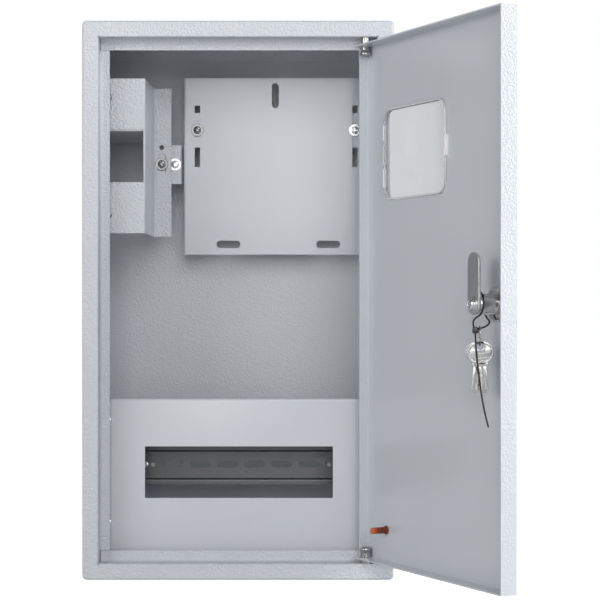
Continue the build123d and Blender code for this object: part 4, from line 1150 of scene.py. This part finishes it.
class ENCLOSURE_OT_make_cable_tie(bpy.types.Operator):
    """Ribbed cable tie: loop over the lock's barrel, head, and the long tail"""
    bl_idname = "enclosure.make_cable_tie"
    bl_label = "Make Cable Tie"

    def smooth_line(self, name, places):
        """Mesh of the smooth line that those control points give."""
        curve = bpy.data.curves.new(name, "CURVE")
        curve.dimensions = "3D"
        curve.resolution_u = 10
        spline = curve.splines.new("NURBS")
        spline.points.add(len(places) - 1)
        for point, place in zip(spline.points, places):
            point.co = (*place, 1)
        spline.order_u = 3
        spline.use_endpoint_u = True
        mesh = baked(added(name, curve))
        bpy.data.curves.remove(curve)
        return mesh

    def head(self, place):
        """Square head with its rounded edges."""
        size, tall = 4.4 * MM, 5.0 * MM
        bm = bmesh.new()
        add_shell(bm, [
            (rounded_rectangle(size * wide, size * wide, 0.7 * MM, 4), tall * (level - 0.5))
            for wide, level in (
                (0.78, 0.0), (0.94, 0.04), (1.0, 0.14), (1.0, 0.62), (0.93, 0.68), (0.93, 0.9), (0.84, 0.98),
                (0.7, 1.0))])
        return mesh_from(bm, "tie_head", Matrix.Translation(place))

    def execute(self, context):
        door, lock, key = settings().door, settings().lock, settings().key
        moulded("black_nylon", (0.012, 0.012, 0.014), 0.34)
        wrap = lock.barrel / 2 + 1.1 * MM
        drop, behind, back = 19.8 * MM, 8.1 * MM, 13.8 * MM
        corner, top = math.tan(math.pi / 8), wrap / drop
        loop = [
            (-0.08, 0.93, 0.97), (-0.42, 0.92, 0.82), (-0.4, 0.9, 0.62), (0.0, 0.87, 0.5), (0.66, 0.84, 0.41),
            (1, 0.8, 0.1), (1, 0.79, -corner * top), (corner, 0.7, -top), (-corner, 0.4, -top),
            (-1, 0.1, -corner * top), (-1, 0.0, 0.15), (-0.7, -0.05, 0.5), (0.0, -0.06, 0.68),
            (0.0, 0.2, 0.86), (0.1, 0.7, 0.95), (0.22, 0.92, 0.98)]
        fall = [
            (0, 0, 0), (-0.04, 0.98, 0.087), (0.05, 1, 0.236), (0.28, 1, 0.525), (0.615, 1, 0.813),
            (1, 1, 1)]
        round_lock = []
        for along, share, down in loop:
            place = on_door(
                door.lock_from_hinge + along * wrap, door.lock_height - down * drop, behind + share * back)
            round_lock.append(place.translation)
        head = on_door(door.lock_from_hinge + 1.3 * MM, door.lock_height - drop, behind + back).translation
        sway, forward, length = 9.6, 4.6, 74.5
        tail = [head + Vector((lean * sway, -step * forward, -down * length)) * MM
                for lean, step, down in fall]
        tree = strap_tree()
        values = {"Radius": key.strap / 2, "Rib Spacing": key.rib_spacing,
                  "Finish": bpy.data.materials["black_nylon"]}
        parts = [grown(name, self.smooth_line(name, line), tree, values)
                 for name, line in (("tie_loop", round_lock), ("tie_tail", tail))]
        mesh = joined("cable_tie_strap", [*parts, self.head(head)])
        place_piece("cable_tie_strap", mesh, "keys", "black_nylon", "tie_plastic", "cable_tie")
        return {"FINISHED"}


class ENCLOSURE_OT_set_stage(bpy.types.Operator):
    """Floor, light and camera"""
    bl_idname = "enclosure.set_stage"
    bl_label = "Set Stage"

    def floor(self):
        """Pale floor that the camera sees as nearly white."""
        reach, gap = 12.0, 0.4 * MM
        z = CAD_BOX[0][2] - gap
        mesh = bpy.data.meshes.new("floor")
        corners = [(x * reach, y * reach, z) for x, y in ((-1, -1), (1, -1), (1, 1), (-1, 1))]
        mesh.from_pydata(corners, [], [(0, 1, 2, 3)])
        floor = added("floor", mesh)
        material = bpy.data.materials.new("pale_floor")
        tree = empty_tree(material)
        matte = new_node(tree, "ShaderNodeBsdfDiffuse", {"Color": (0.82, 0.82, 0.82, 1)})
        white = new_node(tree, "ShaderNodeEmission", {"Color": (1, 1, 1, 1), "Strength": 0.9})
        both = new_node(tree, "ShaderNodeAddShader")
        path = new_node(tree, "ShaderNodeLightPath")
        seen = new_node(tree, "ShaderNodeMixShader")
        output = new_node(tree, "ShaderNodeOutputMaterial")
        wire(tree, (matte, "BSDF", both, 0), (white, "Emission", both, 1),
             (path, "Is Camera Ray", seen, "Fac"), (matte, "BSDF", seen, 1), (both, "Shader", seen, 2),
             (seen, "Shader", output, "Surface"))
        mesh.materials.append(material)

    def surroundings(self, fill):
        """White backdrop for the camera and through the window, weak cool light from all sides."""
        world = bpy.data.worlds.new("studio")
        bpy.context.scene.world = world
        tree = empty_tree(world)
        path = new_node(tree, "ShaderNodeLightPath")
        dim = new_node(tree, "ShaderNodeBackground", {"Color": (0.94, 0.97, 1, 1), "Strength": fill})
        white = new_node(tree, "ShaderNodeBackground", {"Color": (1, 1, 1, 1), "Strength": 1.0})
        either = new_node(tree, "ShaderNodeMath", operation="MAXIMUM")
        mix = new_node(tree, "ShaderNodeMixShader")
        output = new_node(tree, "ShaderNodeOutputWorld")
        wire(tree, (path, "Is Camera Ray", either, 0), (path, "Is Transmission Ray", either, 1),
             (either, "Value", mix, "Fac"), (dim, "Background", mix, 1), (white, "Background", mix, 2),
             (mix, "Shader", output, "Surface"))

    def lamp(self, name, azimuth, elevation, size, power):
        """Softbox at that angle from the front, turned to the object."""
        light = bpy.data.lights.new(name, "AREA")
        light.shape = "RECTANGLE"
        light.size, light.size_y = size
        light.energy = power
        lamp = added(name, light)
        a, e = math.radians(azimuth), math.radians(elevation)
        out = Vector((math.sin(a) * math.cos(e), -math.cos(a) * math.cos(e), math.sin(e)))
        aim = Vector((0.05, -0.15, 0.0))
        lamp.location = aim + out * settings().stage.distance
        lamp.rotation_euler = (-out).to_track_quat("-Z", "Y").to_euler()

    def execute(self, context):
        stage = settings().stage
        scene = bpy.context.scene
        self.floor()
        self.surroundings(stage.fill)
        self.lamp("front_softbox", 10, 20, (1.7, 1.7), stage.front_power)
        self.lamp("front_strip", -4.2, -6, (0.2, 0.5), stage.strip_power)
        self.lamp("left_softbox", -50, 12, (1.6, 1.3), stage.left_power)
        self.lamp("right_softbox", 72, 16, (0.9, 2.2), stage.right_power)
        camera_data = bpy.data.cameras.new("camera")
        camera_data.lens = stage.lens
        camera_data.sensor_width = 36.0
        camera_data.shift_y = stage.shift_y
        camera_data.clip_start = 0.05
        camera_data.clip_end = 100.0
        camera = added("camera", camera_data)
        camera.location = stage.camera
        camera.rotation_euler = (math.radians(90), 0, 0)
        scene.camera = camera
        scene.view_settings.view_transform = "Standard"
        return {"FINISHED"}


class EnclosureSettings(bpy.types.PropertyGroup):
    paint: bpy.props.PointerProperty(type=PaintSettings)
    metal: bpy.props.PointerProperty(type=MetalSettings)
    screw: bpy.props.PointerProperty(type=ScrewSettings)
    door: bpy.props.PointerProperty(type=DoorSettings)
    lock: bpy.props.PointerProperty(type=LockSettings)
    key: bpy.props.PointerProperty(type=KeySettings)
    stage: bpy.props.PointerProperty(type=StageSettings)


OPERATORS = (
    ENCLOSURE_OT_finish_sheet_metal,
    ENCLOSURE_OT_make_fasteners,
    ENCLOSURE_OT_plug_wall_fixings,
    ENCLOSURE_OT_make_hinge_pins,
    ENCLOSURE_OT_make_window,
    ENCLOSURE_OT_make_stud_cap,
    ENCLOSURE_OT_make_lock,
    ENCLOSURE_OT_make_keys,
    ENCLOSURE_OT_make_cable_tie,
    ENCLOSURE_OT_set_stage,
)


class ENCLOSURE_PT_panel(bpy.types.Panel):
    """Lists the steps and the settings of the enclosure"""
    bl_idname = "ENCLOSURE_PT_panel"
    bl_label = "Enclosure"
    bl_space_type = "VIEW_3D"
    bl_region_type = "UI"
    bl_category = "Enclosure"

    def draw(self, context):
        for operator in OPERATORS:
            self.layout.operator(operator.bl_idname)
        for group in ("paint", "metal", "screw", "door", "lock", "key", "stage"):
            box = self.layout.box()
            values = getattr(context.scene.enclosure, group)
            for name in values.bl_rna.properties.keys():
                if name not in ("rna_type", "name"):
                    box.prop(values, name)


CLASSES = (
    PaintSettings, MetalSettings, ScrewSettings, DoorSettings, LockSettings, KeySettings,
    StageSettings, EnclosureSettings, *OPERATORS, ENCLOSURE_PT_panel,
)


def register():
    for cls in CLASSES:
        bpy.utils.register_class(cls)
    bpy.types.Scene.enclosure = bpy.props.PointerProperty(type=EnclosureSettings)


def unregister():
    del bpy.types.Scene.enclosure
    for cls in reversed(CLASSES):
        bpy.utils.unregister_class(cls)


def main():
    register()
    for operator in OPERATORS:
        group, step = operator.bl_idname.split(".")
        getattr(getattr(bpy.ops, group), step)()


if __name__ == "__main__":
    main()
